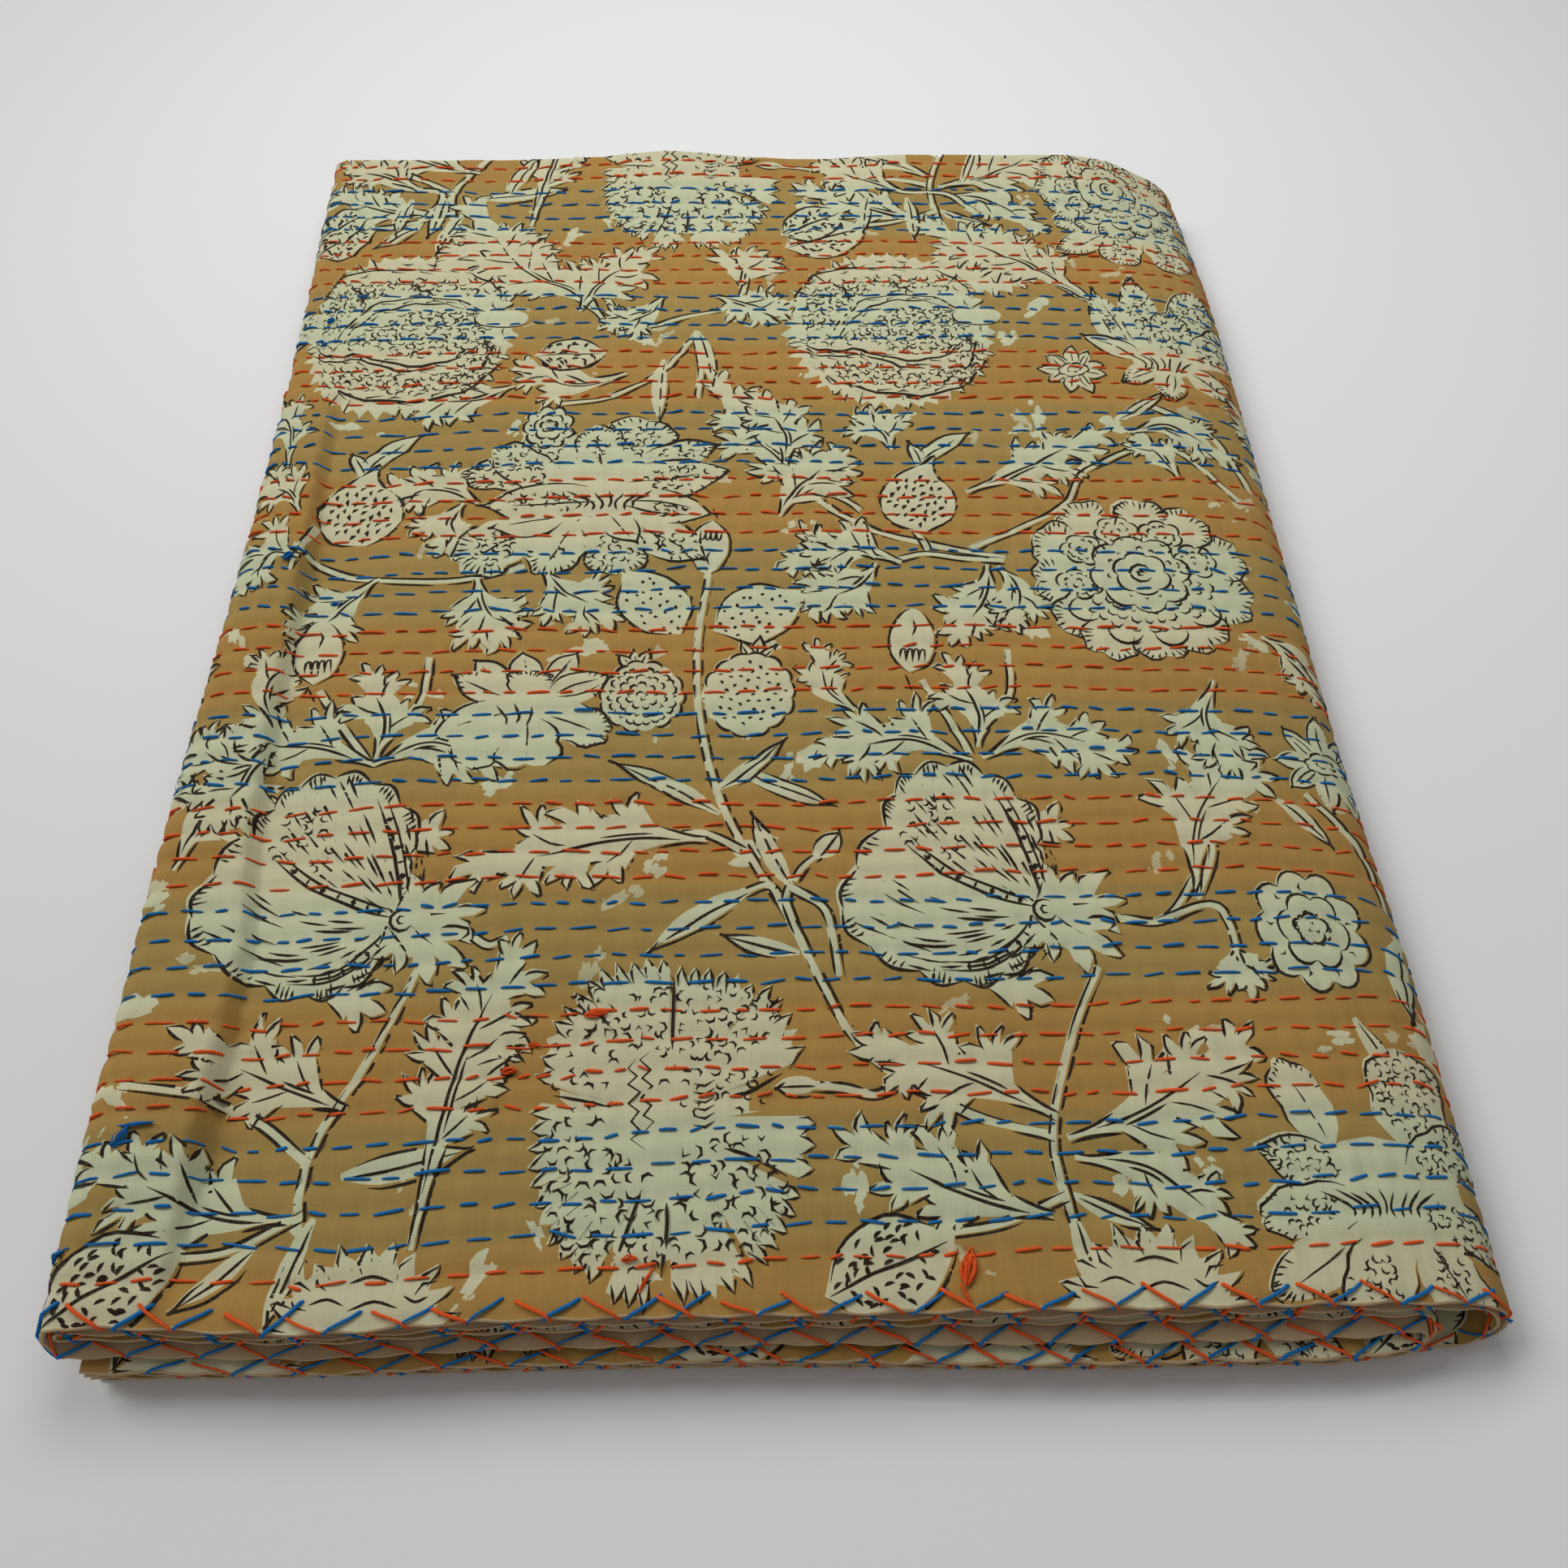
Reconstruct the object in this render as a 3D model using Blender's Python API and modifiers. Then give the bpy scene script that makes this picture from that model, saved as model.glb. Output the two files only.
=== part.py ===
"""A kantha quilt, folded flat.

The quilt is two cotton cloths with a thin wadding between them, held together by rows of running
stitch. It is folded in half across its width, so that its long hems meet at the front, and then
twice along its length, like a book. The pack has four doubled runs, one over the other.

The pack lies on its bottom run. +X goes to the right along the front hems, +Y goes back to the
first fold, and +Z is up. Everything is in metres.
"""

import math
from collections import namedtuple

import bmesh
import bpy

# The quilt
THICKNESS = 0.0030
ROWS = 56  # running stitch, from the front hem to the first fold
ROW_DEPTH = 0.0009  # how far a row pulls the cloth in

# The folds
LAYER_GAP = 0.0016  # inside the first fold
RUN_GAP = 0.0022  # between one doubled run and the next
TOP_HEM = -0.3729  # y of the hem that lies on top
FIRST_FOLD = 0.3888  # y where the first fold starts to turn
LEFT_FOLD = -0.2843  # x where the top run turns under
LEFT_ENDS = -0.2800  # x of the quilt's two short hems
SPINE = 0.2745  # x where the bottom run turns up and over
INNER_FOLD = 0.2530  # x where the second run turns under

LAYER_OFFSET = (THICKNESS + LAYER_GAP) / 2  # from a run's middle to the middle of either layer
RUN_THICKNESS = 2 * THICKNESS + LAYER_GAP
RUN_PITCH = RUN_THICKNESS + RUN_GAP
TOP = 3 * RUN_PITCH + RUN_THICKNESS
HALF_ROW = (FIRST_FOLD - TOP_HEM) / (2 * ROWS)

# The runs in the order in which the quilt passes through them. level counts from the floor.
# outer and inner are how far the hems of the two layers stick out past the top hem, and back is
# how far the first fold falls short of the top run's.
Run = namedtuple("Run", "name level start end outer inner back turn_steps")
RUNS = (
    Run("bottom", 0, LEFT_ENDS, SPINE, 0.0160, 0.0175, 0.012, 9),
    Run("top", 3, SPINE, LEFT_FOLD, 0.0000, 0.0015, 0.000, 5),
    Run("second", 2, LEFT_FOLD, INNER_FOLD, 0.0105, 0.0030, 0.005, 5),
    Run("third", 1, INNER_FOLD, LEFT_ENDS, 0.0180, 0.0170, 0.014, 0),
)

# Where the surface has points: x along a run, close together at the crease and at the spine,
# and half rows of stitching from a hem to the first fold.
UPPER_STATIONS = (
    -0.272, -0.262, -0.2535, -0.246, -0.239, -0.226, -0.206, -0.170, -0.115,
    -0.055, 0.010, 0.075, 0.135, 0.185, 0.220, 0.243, 0.262,
)  # fmt: skip
LOWER_STATIONS = (-0.262, -0.246, -0.228, -0.190, -0.110, -0.010, 0.090, 0.180, 0.230, 0.262)
HALF_ROW_STATIONS = (0, 4, 16, 32, 50, 68, 84, 92, 98, 104, 109, 112)
FIRST_FOLD_STEPS = 4

# The crease beside the left fold, from back to front: y, how far it lies from CREASE_LINE, and
# how deep it is as a share of the whole step.
CREASE_LINE = -0.246
CREASE_RISE = 0.0048  # the puffed strip to its left
CREASE_SINK = 0.0036  # the trough at its foot
Crease = namedtuple("Crease", "y shift share")
CREASE = (
    Crease(0.160, -0.012, 0.0),
    Crease(0.085, -0.012, 0.6),
    Crease(0.020, -0.007, 1.0),
    Crease(-0.060, 0.001, 0.7),
    Crease(-0.140, 0.006, 0.8),
    Crease(-0.220, 0.006, 0.6),
    Crease(-0.300, 0.004, 1.0),
    Crease(-0.340, 0.002, 0.7),
    Crease(-0.375, 0.000, 0.15),
)

# How the pack has settled
RIGHT_EDGE, BACK_EDGE = 0.293, 0.393
CROWN = 0.0030
SPINE_DROOP = 0.0120
SPINE_DROOP_WIDTH = 0.070
CORNER_DROOP = 0.0120
CORNER_IN = 0.020  # how far the back right corner is rounded off
CORNER_WIDTH, CORNER_DEPTH = 0.093, 0.150
BACK_PUFF = 0.0045  # a soft hump in the first fold
BACK_PUFF_AT, BACK_PUFF_WIDTH, BACK_PUFF_DEPTH = -0.060, 0.075, 0.080
WAIST = 0.0060  # how far the left edge draws in behind the middle
WAIST_AT, WAIST_LENGTH = 0.130, 0.200
HEM_BOW = 0.0040  # how far the front hems swing out near the left
HEM_BOW_AT, HEM_BOW_WIDTH, HEM_BOW_DEPTH = -0.190, 0.045, 0.090
HEMS_MEET = 0.65  # how much of their steps the lower hems lose as they come round the spine
HEMS_MEET_FROM = 0.190


def smooth(a, b, value):
    """0 at a and 1 at b, with an even S between them and no change past either."""
    t = min(max((value - a) / (b - a), 0.0), 1.0)
    return t * t * (3 - 2 * t)


def bell(centre, width, value):
    """1 at centre, falling away to either side."""
    return math.exp(-(((value - centre) / width) ** 2))


def blend_rows(rows, y, column):
    """Reads a column of a table that runs from back to front, in even S curves between its rows."""
    value = getattr(rows[0], column)
    for back, front in zip(rows, rows[1:]):
        value += (getattr(front, column) - getattr(back, column)) * smooth(-back.y, -front.y, -y)
    return value


def run_height(level):
    """z of the middle of the doubled run on that level."""
    return RUN_THICKNESS / 2 + level * RUN_PITCH


def run_stations(run):
    """The x of each point along one run, in the direction in which the quilt passes."""
    inside = UPPER_STATIONS if run.level > 1 else LOWER_STATIONS
    low, high = sorted((run.start, run.end))
    clear = 0.004
    along = [low] + [x for x in inside if low + clear < x < high - clear] + [high]
    return along if run.end > run.start else along[::-1]


Station = namedtuple("Station", "x z normal_x normal_z outer inner back")


def path_stations():
    """The section through the pack: a serpentine of straight runs joined by half circles."""
    stations = []
    for run, following in zip(RUNS, RUNS[1:] + (None,)):
        way = 1 if run.end > run.start else -1
        z = run_height(run.level)
        for x in run_stations(run):
            stations.append(Station(x, z, 0.0, way, run.outer, run.inner, run.back))
        if following is None:
            continue
        radius = (run_height(following.level) - z) / 2
        for step in range(1, run.turn_steps):
            share = step / run.turn_steps
            angle = math.pi * share
            eased = smooth(0, 1, share)
            stations.append(
                Station(
                    run.end + way * abs(radius) * math.sin(angle),
                    z + radius * (1 - math.cos(angle)),
                    -math.copysign(1, radius) * math.sin(angle),
                    way * math.cos(angle),
                    run.outer + (following.outer - run.outer) * eased,
                    run.inner + (following.inner - run.inner) * eased,
                    run.back + (following.back - run.back) * eased,
                )
            )
    return stations


Across = namedtuple("Across", "share turn inner")


def across_stations():
    """From the outer layer's hem, round the first fold, to the inner layer's hem."""
    shares = [half_rows / HALF_ROW_STATIONS[-1] for half_rows in HALF_ROW_STATIONS]
    turns = [math.pi * (k / FIRST_FOLD_STEPS - 0.5) for k in range(1, FIRST_FOLD_STEPS)]
    outer = [Across(share, -math.pi / 2, False) for share in shares]
    fold = [Across(1.0, turn, False) for turn in turns]
    inner = [Across(share, math.pi / 2, True) for share in reversed(shares)]
    return outer + fold + inner


def place(station, across):
    """A point of the quilt's middle surface, before the pack settles."""
    hem = TOP_HEM - (station.inner if across.inner else station.outer)
    fold = FIRST_FOLD - station.back
    y = hem + (fold - hem) * across.share + LAYER_OFFSET * math.cos(across.turn)
    offset = LAYER_OFFSET * math.sin(across.turn)
    return (station.x + station.normal_x * offset, y, station.z + station.normal_z * offset)


def settle(x, y, z):
    """Moves a point of the square-cut pack to where it lies in the settled one.

    Heights change in proportion to the height above the floor, so layers stay apart and the
    bottom stays flat. In plan the crease wanders, the left edge has a waist, the hems bow and
    the back right corner is rounded off.
    """
    rise = max(z, 0.0) / TOP
    past_crease = x - CREASE_LINE
    fades_at = -0.150 if past_crease > 0 else -0.290
    near_crease = smooth(fades_at, CREASE_LINE, x) if past_crease else 1.0
    wander = blend_rows(CREASE, y, "shift") * near_crease * rise
    rounded = 0.45 + 0.55 * smooth(-0.05, -0.02, past_crease)
    strip = CREASE_RISE * rounded * smooth(0.008, -0.008, past_crease)
    trough = CREASE_SINK * smooth(-0.006, 0.008, past_crease) * smooth(0.075, 0.008, past_crease)
    crease = (strip - trough) * blend_rows(CREASE, y, "share")
    by_the_spine = smooth(RIGHT_EDGE - CORNER_WIDTH, RIGHT_EDGE, x)
    corner = by_the_spine * smooth(BACK_EDGE - CORNER_DEPTH, BACK_EDGE, y)
    inland = smooth(-0.29, -0.10, x) * smooth(0.29, 0.08, x)
    crown = CROWN * inland * smooth(-0.40, -0.15, y) * smooth(0.40, 0.10, y)
    by_the_fold = smooth(BACK_EDGE - BACK_PUFF_DEPTH, BACK_EDGE, y)
    puff = BACK_PUFF * bell(BACK_PUFF_AT, BACK_PUFF_WIDTH, x) * by_the_fold
    past_shoulder = max(0.0, x - (RIGHT_EDGE - SPINE_DROOP_WIDTH))
    droop = SPINE_DROOP * (past_shoulder / SPINE_DROOP_WIDTH) ** 2 + CORNER_DROOP * corner
    waist = WAIST * bell(WAIST_AT, WAIST_LENGTH, y) * smooth(-0.15, -0.29, x)
    by_the_hems = smooth(TOP_HEM + HEM_BOW_DEPTH, TOP_HEM, y)
    bow = HEM_BOW * bell(HEM_BOW_AT, HEM_BOW_WIDTH, x) * by_the_hems * rise
    steps_lost = HEMS_MEET * smooth(HEMS_MEET_FROM, RIGHT_EDGE, x) * max(0.0, TOP_HEM - y)
    return (
        x + wander + waist - CORNER_IN * corner,
        y + steps_lost - bow - CORNER_IN * corner,
        z + rise * (crown + puff) + rise**1.5 * (crease - droop),
    )


def quilt_sheet():
    """The quilt's middle surface as an open grid, folded but not yet settled."""
    along, across = path_stations(), across_stations()
    bm = bmesh.new()
    bmesh.ops.create_grid(bm, x_segments=len(along) - 1, y_segments=len(across) - 1, size=1.0)
    for vert in bm.verts:
        i = round((vert.co.x + 1) / 2 * (len(along) - 1))
        j = round((vert.co.y + 1) / 2 * (len(across) - 1))
        vert.co = place(along[i], across[j])
    mesh = bpy.data.meshes.new("quilt_sheet")
    bm.to_mesh(mesh)
    bm.free()
    return mesh


def thicken(mesh, collection):
    """The closed body that Solidify makes from the sheet."""
    sheet = bpy.data.objects.new("quilt_sheet", mesh)
    collection.objects.link(sheet)
    solidify = sheet.modifiers.new("thickness", "SOLIDIFY")
    solidify.thickness = THICKNESS
    solidify.offset = 0.0
    solidify.use_even_offset = True
    bpy.context.view_layer.update()
    evaluated = sheet.evaluated_get(bpy.context.evaluated_depsgraph_get())
    body = bpy.data.meshes.new_from_object(evaluated)
    bpy.data.objects.remove(sheet)
    return body


def quilt_the_top(bm):
    """Gives the top face a line of points for each half row, and pulls every other one in."""
    near = 0.0001

    def on_top(vert):
        return vert.co.z > TOP - near and LEFT_FOLD - near < vert.co.x < SPINE + near

    for first, last in zip(HALF_ROW_STATIONS, HALF_ROW_STATIONS[1:]):
        low, high = TOP_HEM + first * HALF_ROW, TOP_HEM + last * HALF_ROW
        edges = [
            edge
            for edge in bm.edges
            if all(on_top(vert) for vert in edge.verts)
            and abs(min(vert.co.y for vert in edge.verts) - low) < near
            and abs(max(vert.co.y for vert in edge.verts) - high) < near
        ]
        bmesh.ops.subdivide_edges(bm, edges=edges, cuts=last - first - 1)
    first_row = 3  # in half rows from the hem
    for vert in bm.verts:
        half_row = round((vert.co.y - TOP_HEM) / HALF_ROW)
        if on_top(vert) and half_row % 2 and half_row >= first_row:
            vert.co.z -= ROW_DEPTH


def quilt_material():
    material = bpy.data.materials.new("quilted_cotton")
    material.use_nodes = True
    shader = material.node_tree.nodes["Principled BSDF"]
    shader.inputs["Base Color"].default_value = (0.33, 0.17, 0.05, 1.0)
    shader.inputs["Roughness"].default_value = 0.9
    shader.inputs["Metallic"].default_value = 0.0
    return material


def build_quilt(collection):
    body = thicken(quilt_sheet(), collection)
    bm = bmesh.new()
    bm.from_mesh(body)
    quilt_the_top(bm)
    for vert in bm.verts:
        vert.co = settle(*vert.co)
    bmesh.ops.triangulate(bm, faces=bm.faces)
    bmesh.ops.recalc_face_normals(bm, faces=bm.faces)
    bm.to_mesh(body)
    bm.free()
    body.name = "quilt"
    body.materials.clear()
    body.materials.append(quilt_material())
    body.shade_smooth()
    quilt = bpy.data.objects.new("quilt", body)
    collection.objects.link(quilt)


for old in list(bpy.data.objects):
    bpy.data.objects.remove(old)
pack = bpy.data.collections.new("kantha_quilt")
bpy.context.scene.collection.children.link(pack)
build_quilt(pack)
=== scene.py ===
"""A kantha quilt, folded into a flat pack and seen from in front and above.

Two cotton cloths, one printed and one plain, with a thin wadding between them, are held together
by rows of running stitch in two colours. Everything is first worked out on the flat quilt and
then laid along the folds: p is the place along its length and v the place across its width, so
that on the top of the pack p is x and v starts at the front hem, and h is the height above the
quilt's middle, towards the printed side. Everything is in metres.
"""

import math

import bpy
import numpy as np
from mathutils import Matrix, Vector
from mathutils.geometry import delaunay_2d_cdt


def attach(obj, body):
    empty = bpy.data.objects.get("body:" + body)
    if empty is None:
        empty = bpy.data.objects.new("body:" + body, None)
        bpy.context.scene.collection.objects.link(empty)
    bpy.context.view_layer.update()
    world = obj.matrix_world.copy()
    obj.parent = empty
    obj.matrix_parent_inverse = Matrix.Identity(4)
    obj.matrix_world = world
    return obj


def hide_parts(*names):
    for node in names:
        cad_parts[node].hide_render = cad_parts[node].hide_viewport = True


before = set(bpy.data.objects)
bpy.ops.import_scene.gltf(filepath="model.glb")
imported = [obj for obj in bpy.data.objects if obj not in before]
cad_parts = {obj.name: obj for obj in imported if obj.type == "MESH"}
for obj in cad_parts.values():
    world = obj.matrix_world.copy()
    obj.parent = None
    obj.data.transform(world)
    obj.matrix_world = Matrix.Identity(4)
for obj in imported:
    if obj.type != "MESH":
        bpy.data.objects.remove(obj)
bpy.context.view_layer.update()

# ---------------------------------------------------------------------------------------------
# The printed cloth. Fine plain-weave cotton, block printed with a mustard ground that leaves
# cream flowers bare. It is folded in half across the quilt's width and twice along its length,
# and every row of stitching puckers it.
# ---------------------------------------------------------------------------------------------

THICKNESS = 0.0030  # of the quilt
LAYER_GAP = 0.0016  # inside the first fold
RUN_GAP = 0.0022  # between one doubled run and the next
TOP_HEM, FIRST_FOLD = -0.3729, 0.3888  # y
LEFT_FOLD, LEFT_ENDS, SPINE, INNER_FOLD = -0.2843, -0.2800, 0.2745, 0.2530  # x
LAYER_OFFSET = (THICKNESS + LAYER_GAP) / 2
RUN_THICKNESS = 2 * THICKNESS + LAYER_GAP
RUN_PITCH = RUN_THICKNESS + RUN_GAP
TOP = 3 * RUN_PITCH + RUN_THICKNESS

# level, start, end, how far the outer and the inner hem stick out, how far the fold falls short
RUNS = (
    (0, LEFT_ENDS, SPINE, 0.0160, 0.0175, 0.012),
    (3, SPINE, LEFT_FOLD, 0.0000, 0.0015, 0.000),
    (2, LEFT_FOLD, INNER_FOLD, 0.0105, 0.0030, 0.005),
    (1, INNER_FOLD, LEFT_ENDS, 0.0180, 0.0170, 0.014),
)
SPINE_RADIUS = 1.5 * RUN_PITCH
TOP_START = SPINE - LEFT_ENDS + math.pi * SPINE_RADIUS  # travelled before the top run
P_START = SPINE + TOP_START  # p of the short hem of the bottom run
P_END = LEFT_FOLD - math.pi * RUN_PITCH - 2 * INNER_FOLD + LEFT_FOLD + LEFT_ENDS  # and of the last
HALF = FIRST_FOLD - TOP_HEM  # v where the first fold starts to turn
TURN = math.pi * LAYER_OFFSET
WIDTH = 2 * HALF + TURN

# How the pack has settled
CREASE_LINE, CREASE_RISE, CREASE_SINK = -0.246, 0.0048, 0.0036
CREASE = (  # y from back to front, how far the crease wanders in x, its share of the full depth
    (0.190, -0.012, 0.0),
    (0.110, -0.012, 0.7),
    (0.022, -0.008, 1.2),
    (-0.060, -0.006, 0.9),
    (-0.140, -0.002, 0.9),
    (-0.215, 0.006, 0.7),
    (-0.298, 0.004, 1.35),
    (-0.340, 0.002, 0.7),
    (-0.375, 0.000, 0.15),
)
RIGHT_EDGE, BACK_EDGE = 0.293, 0.393
SHOULDER = 0.070  # how far from the spine the top starts to droop
CROWN, DROOP = 0.0030, 0.0120  # how much the middle rises and the spine sinks
CORNER_DROOP, CORNER_CUT = 0.0050, 0.0100  # the back right corner, down and inwards
SWELL, PEAK, STUFFING = 0.0045, 0.0030, 0.0050  # the humps along the back edge
WAIST, FLARE, SLIMMER = 0.0040, 0.0036, 0.0040  # the left edge in and out, the right edge in
BOW = 0.0040  # the front hem near the left corner, outwards
LOST, LOST_LEFT, LOST_RIGHT = 0.10, 0.21, 0.40  # shares of the hems' steps that are lost

# The stitching, and how it pulls the cloth
FIRST_ROW, ROW_PITCH = 0.0204, 0.0136
HEM_STITCH = 0.0280  # from one cross stitch of a hem to the next
SCALLOP = 0.0008
THIN_EDGE = 0.0007  # how much thinner each side of the quilt gets at its edges
ROW_PULL, DIVE_PULL = 0.0010, 0.0005  # a row's depth, and how much deeper the thread's dives are
ROLL, TUCK = 0.00014, 0.00010  # the height of the cloth's waves between rows


def smooth(a, b, value):
    """0 at a and 1 at b, an even S between them, and flat past either."""
    t = np.clip((value - a) / (b - a), 0, 1)
    return t * t * (3 - 2 * t)


def bell(centre, width, value):
    """1 at centre, falling away to either side as a Gaussian."""
    return np.exp(-(((value - centre) / width) ** 2))


def crease_at(y, column):
    """Reads a column of CREASE at y, in even S curves from row to row."""
    value = CREASE[0][column] + 0 * y
    for back, front in zip(CREASE, CREASE[1:]):
        value = value + (front[column] - back[column]) * smooth(-back[0], -front[0], -y)
    return value


def section(p):
    """The section through the pack at p: x and z of the quilt's middle, its normal in x and z,
    and how far the hems and the fold are stepped. Straight runs, one over the other, are joined
    by half circles, as a serpentine."""
    travel = TOP_START + SPINE - p
    found = np.zeros((7,) + p.shape)
    begun = 0.0
    for run, following in zip(RUNS, RUNS[1:] + (None,)):
        level, start, end = run[:3]
        way = 1 if end > start else -1
        z = RUN_THICKNESS / 2 + level * RUN_PITCH
        on, still = travel - begun, 0 * p
        straight = [start + way * on, z + still, still, way + still]
        straight += [step + still for step in run[3:]]
        found = np.where((travel >= begun) | (begun == 0), straight, found)
        begun += abs(end - start)
        if following is None:
            continue
        radius = (following[0] - level) * RUN_PITCH / 2
        arc = math.pi * abs(radius)
        angle = (travel - begun) / abs(radius)
        eased = smooth(0, arc, travel - begun)
        turned = [
            end + way * abs(radius) * np.sin(angle),
            z + radius * (1 - np.cos(angle)),
            -math.copysign(1, radius) * np.sin(angle),
            way * np.cos(angle),
        ]
        turned += [a + (b - a) * eased for a, b in zip(run[3:], following[3:])]
        found = np.where(travel >= begun, turned, found)
        begun += arc
    return found


def from_hem(v):
    """How far v is from the nearer of the quilt's two long hems."""
    return np.where(v < WIDTH / 2, v, WIDTH - v)


def settle(x, y, z):
    """Moves points of the square-cut pack to where they lie in the settled one. Heights change
    in proportion to the height above the floor, so layers stay apart: a crown over the middle, a
    droop at the spine and the back right corner, humps along the back edge, and a puffed strip
    and a trough at the crease. In plan the crease wanders, the left edge has a waist and flares
    towards the front, the right edge draws in, the front hem bows, the lower hems lie closer
    than they were cut and the back right corner is round."""
    rise = np.maximum(z, 0) / TOP
    past = x - CREASE_LINE
    near = np.where(past > 0, smooth(-0.150, CREASE_LINE, x), smooth(-0.290, CREASE_LINE, x))
    wander = crease_at(y, 1) * near * rise
    rounded = 0.45 + 0.55 * smooth(-0.05, -0.02, past)
    strip = CREASE_RISE * rounded * smooth(0.004, -0.006, past)
    trough = CREASE_SINK * smooth(-0.003, 0.004, past) * smooth(0.060, 0.005, past)
    crease = (strip - trough) * crease_at(y, 2)
    corner = smooth(RIGHT_EDGE - 0.093, RIGHT_EDGE, x) * smooth(BACK_EDGE - 0.150, BACK_EDGE, y)
    inland = smooth(-0.29, -0.10, x) * smooth(0.29, 0.08, x)
    crown = CROWN * inland * smooth(-0.40, -0.15, y) * smooth(0.40, 0.10, y)
    stuffed = smooth(0.02, 0.10, x) * smooth(0.32, 0.22, x)
    puff = SWELL * bell(-0.060, 0.075, x) + PEAK * bell(-0.065, 0.030, x) + STUFFING * stuffed
    puff = puff * smooth(BACK_EDGE - 0.080, BACK_EDGE, y)
    past_shoulder = np.maximum(0, x - (RIGHT_EDGE - SHOULDER)) / SHOULDER
    droop = DROOP * past_shoulder**2 + CORNER_DROOP * corner
    waist = WAIST * bell(0.130, 0.200, y) * smooth(-0.15, -0.29, x)
    flare = FLARE * smooth(0.05, -0.18, y) * smooth(-0.15, -0.29, x) * rise
    slimmer = SLIMMER * smooth(-0.24, -0.08, y) * smooth(0.37, 0.25, y) * smooth(0.12, 0.29, x)
    bow = BOW * bell(-0.190, 0.045, x) * smooth(TOP_HEM + 0.090, TOP_HEM, y) * rise
    short = LOST + LOST_LEFT * smooth(0.13, -0.05, x) + LOST_RIGHT * smooth(0.215, RIGHT_EDGE, x)
    steps_lost = short * np.maximum(0, TOP_HEM - y)
    return np.stack(
        [
            x + wander + waist - flare - slimmer - CORNER_CUT * corner,
            y + steps_lost - bow - CORNER_CUT * corner,
            np.maximum(z + rise * (crown + puff) + rise**1.5 * (crease - droop), 0.0001),
        ],
        axis=-1,
    )


def lay(p, v, h):
    """Where a point of the flat quilt lies in the pack. Across the width the quilt is a hairpin:
    the outer layer runs from its hem to the first fold, half a circle turns it over, and the
    inner layer runs back. The hairpin follows the section, outer layer outside."""
    x, z, normal_x, normal_z, outer, inner, back = section(p)
    turn = math.pi * (np.clip((v - HALF) / TURN, 0, 1) - 0.5)
    hem = TOP_HEM - np.where(v > WIDTH / 2, inner, outer)
    share = np.minimum(from_hem(v) / HALF, 1)
    wave = np.cos(2 * math.pi * (p / HEM_STITCH + np.where(v > WIDTH / 2, 0.5, 0)))
    y = hem + (FIRST_FOLD - back - hem) * share + (LAYER_OFFSET + h) * np.cos(turn)
    y = y - SCALLOP * wave * smooth(0.014, 0, from_hem(v))
    offset = (LAYER_OFFSET + h) * np.sin(turn)
    return settle(x + normal_x * offset, y, z + normal_z * offset)


def wander_of_rows(p, w):
    """How far the rows of stitching stray from straight lines, w from the hem: two slow waves,
    and by the front hem they climb to the right."""
    waves = 0.0010 * np.sin(2 * math.pi * (p / 0.31 + 3 * w))
    waves = waves + 0.0006 * np.sin(2 * math.pi * (p / 0.117 + 7 * w))
    return waves + 0.0146 * np.clip(p, -0.3, 0.3) * smooth(0.30, 0.04, w)


def puckers(p, v):
    """How far the stitching pulls a cloth in. Each row is a valley with the thread at its foot,
    deeper where the thread dives. Between two rows the cloth is a soft roll, crossed by shallow
    tucks that lean from row to row. It is pressed thin at its edges."""
    w = from_hem(v)
    row = (w - wander_of_rows(p, w) - FIRST_ROW) / ROW_PITCH
    valley = 1 - np.abs(np.sin(math.pi * row)) ** 0.75
    valley = valley * smooth(-0.6, -0.2, row)
    number = np.round(row)
    dives = 0.5 + 0.5 * np.sin(2 * math.pi * p / 0.0145 + 2.1 * number)
    rolls = np.sin(2 * math.pi * (p / 0.041 + 0.31 * row)) * np.sin(2 * math.pi * p / 0.17 + w * 20)
    from_edge = np.minimum(w, np.minimum(p - P_END, P_START - p))
    tucks = np.sin(2 * math.pi * (p / 0.031 + 0.2 * np.sin(w * 130) + 0.23 * row)) * (1 - valley)
    pulled = (ROW_PULL + DIVE_PULL * dives) * valley + THIN_EDGE * smooth(0.006, 0, from_edge)
    return ROLL * rolls + TUCK * tucks - pulled


# The print is drawn in centimetres round each motif's own middle. A shape is an outline and a
# colour, and a stroke is a thin shape of ink with pointed ends.
MUSTARD, CREAM, WORN, INK = range(4)


def curve(points, count):
    """A smooth line through the points: Catmull-Rom cubics, count samples from end to end."""
    p = np.asarray(points, float)
    p = np.vstack([2 * p[0] - p[1], p, 2 * p[-1] - p[-2]])
    t = np.linspace(0, len(p) - 3 - 1e-9, count)
    i = t.astype(int)
    f = (t - i)[:, None]
    a, b, c, d = p[i], p[i + 1], p[i + 2], p[i + 3]
    bend = (2 * a - 5 * b + 4 * c - d) * f**2 + (3 * b - a - 3 * c + d) * f**3
    return 0.5 * (2 * b + (c - a) * f + bend)


def toward(degrees):
    """The unit vector of a direction in degrees."""
    return np.array([math.cos(math.radians(degrees)), math.sin(math.radians(degrees))])


def arc(x, y, rx, ry, start, end, count):
    """Part of an ellipse about x, y, from one angle to another in degrees."""
    a = np.radians(np.linspace(start, end, count))
    return np.stack([x + rx * np.cos(a), y + ry * np.sin(a)], 1)


def turned(points, degrees):
    """Points turned anticlockwise about the origin."""
    c, s = toward(degrees)
    return np.asarray(points, float) @ np.array([[c, s], [-s, c]])


def beside(path):
    """Unit vectors square to a path, to its left."""
    along = np.gradient(np.asarray(path, float), axis=0)
    return np.stack([-along[:, 1], along[:, 0]], 1) / (np.hypot(*along.T)[:, None] + 1e-9)


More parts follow.
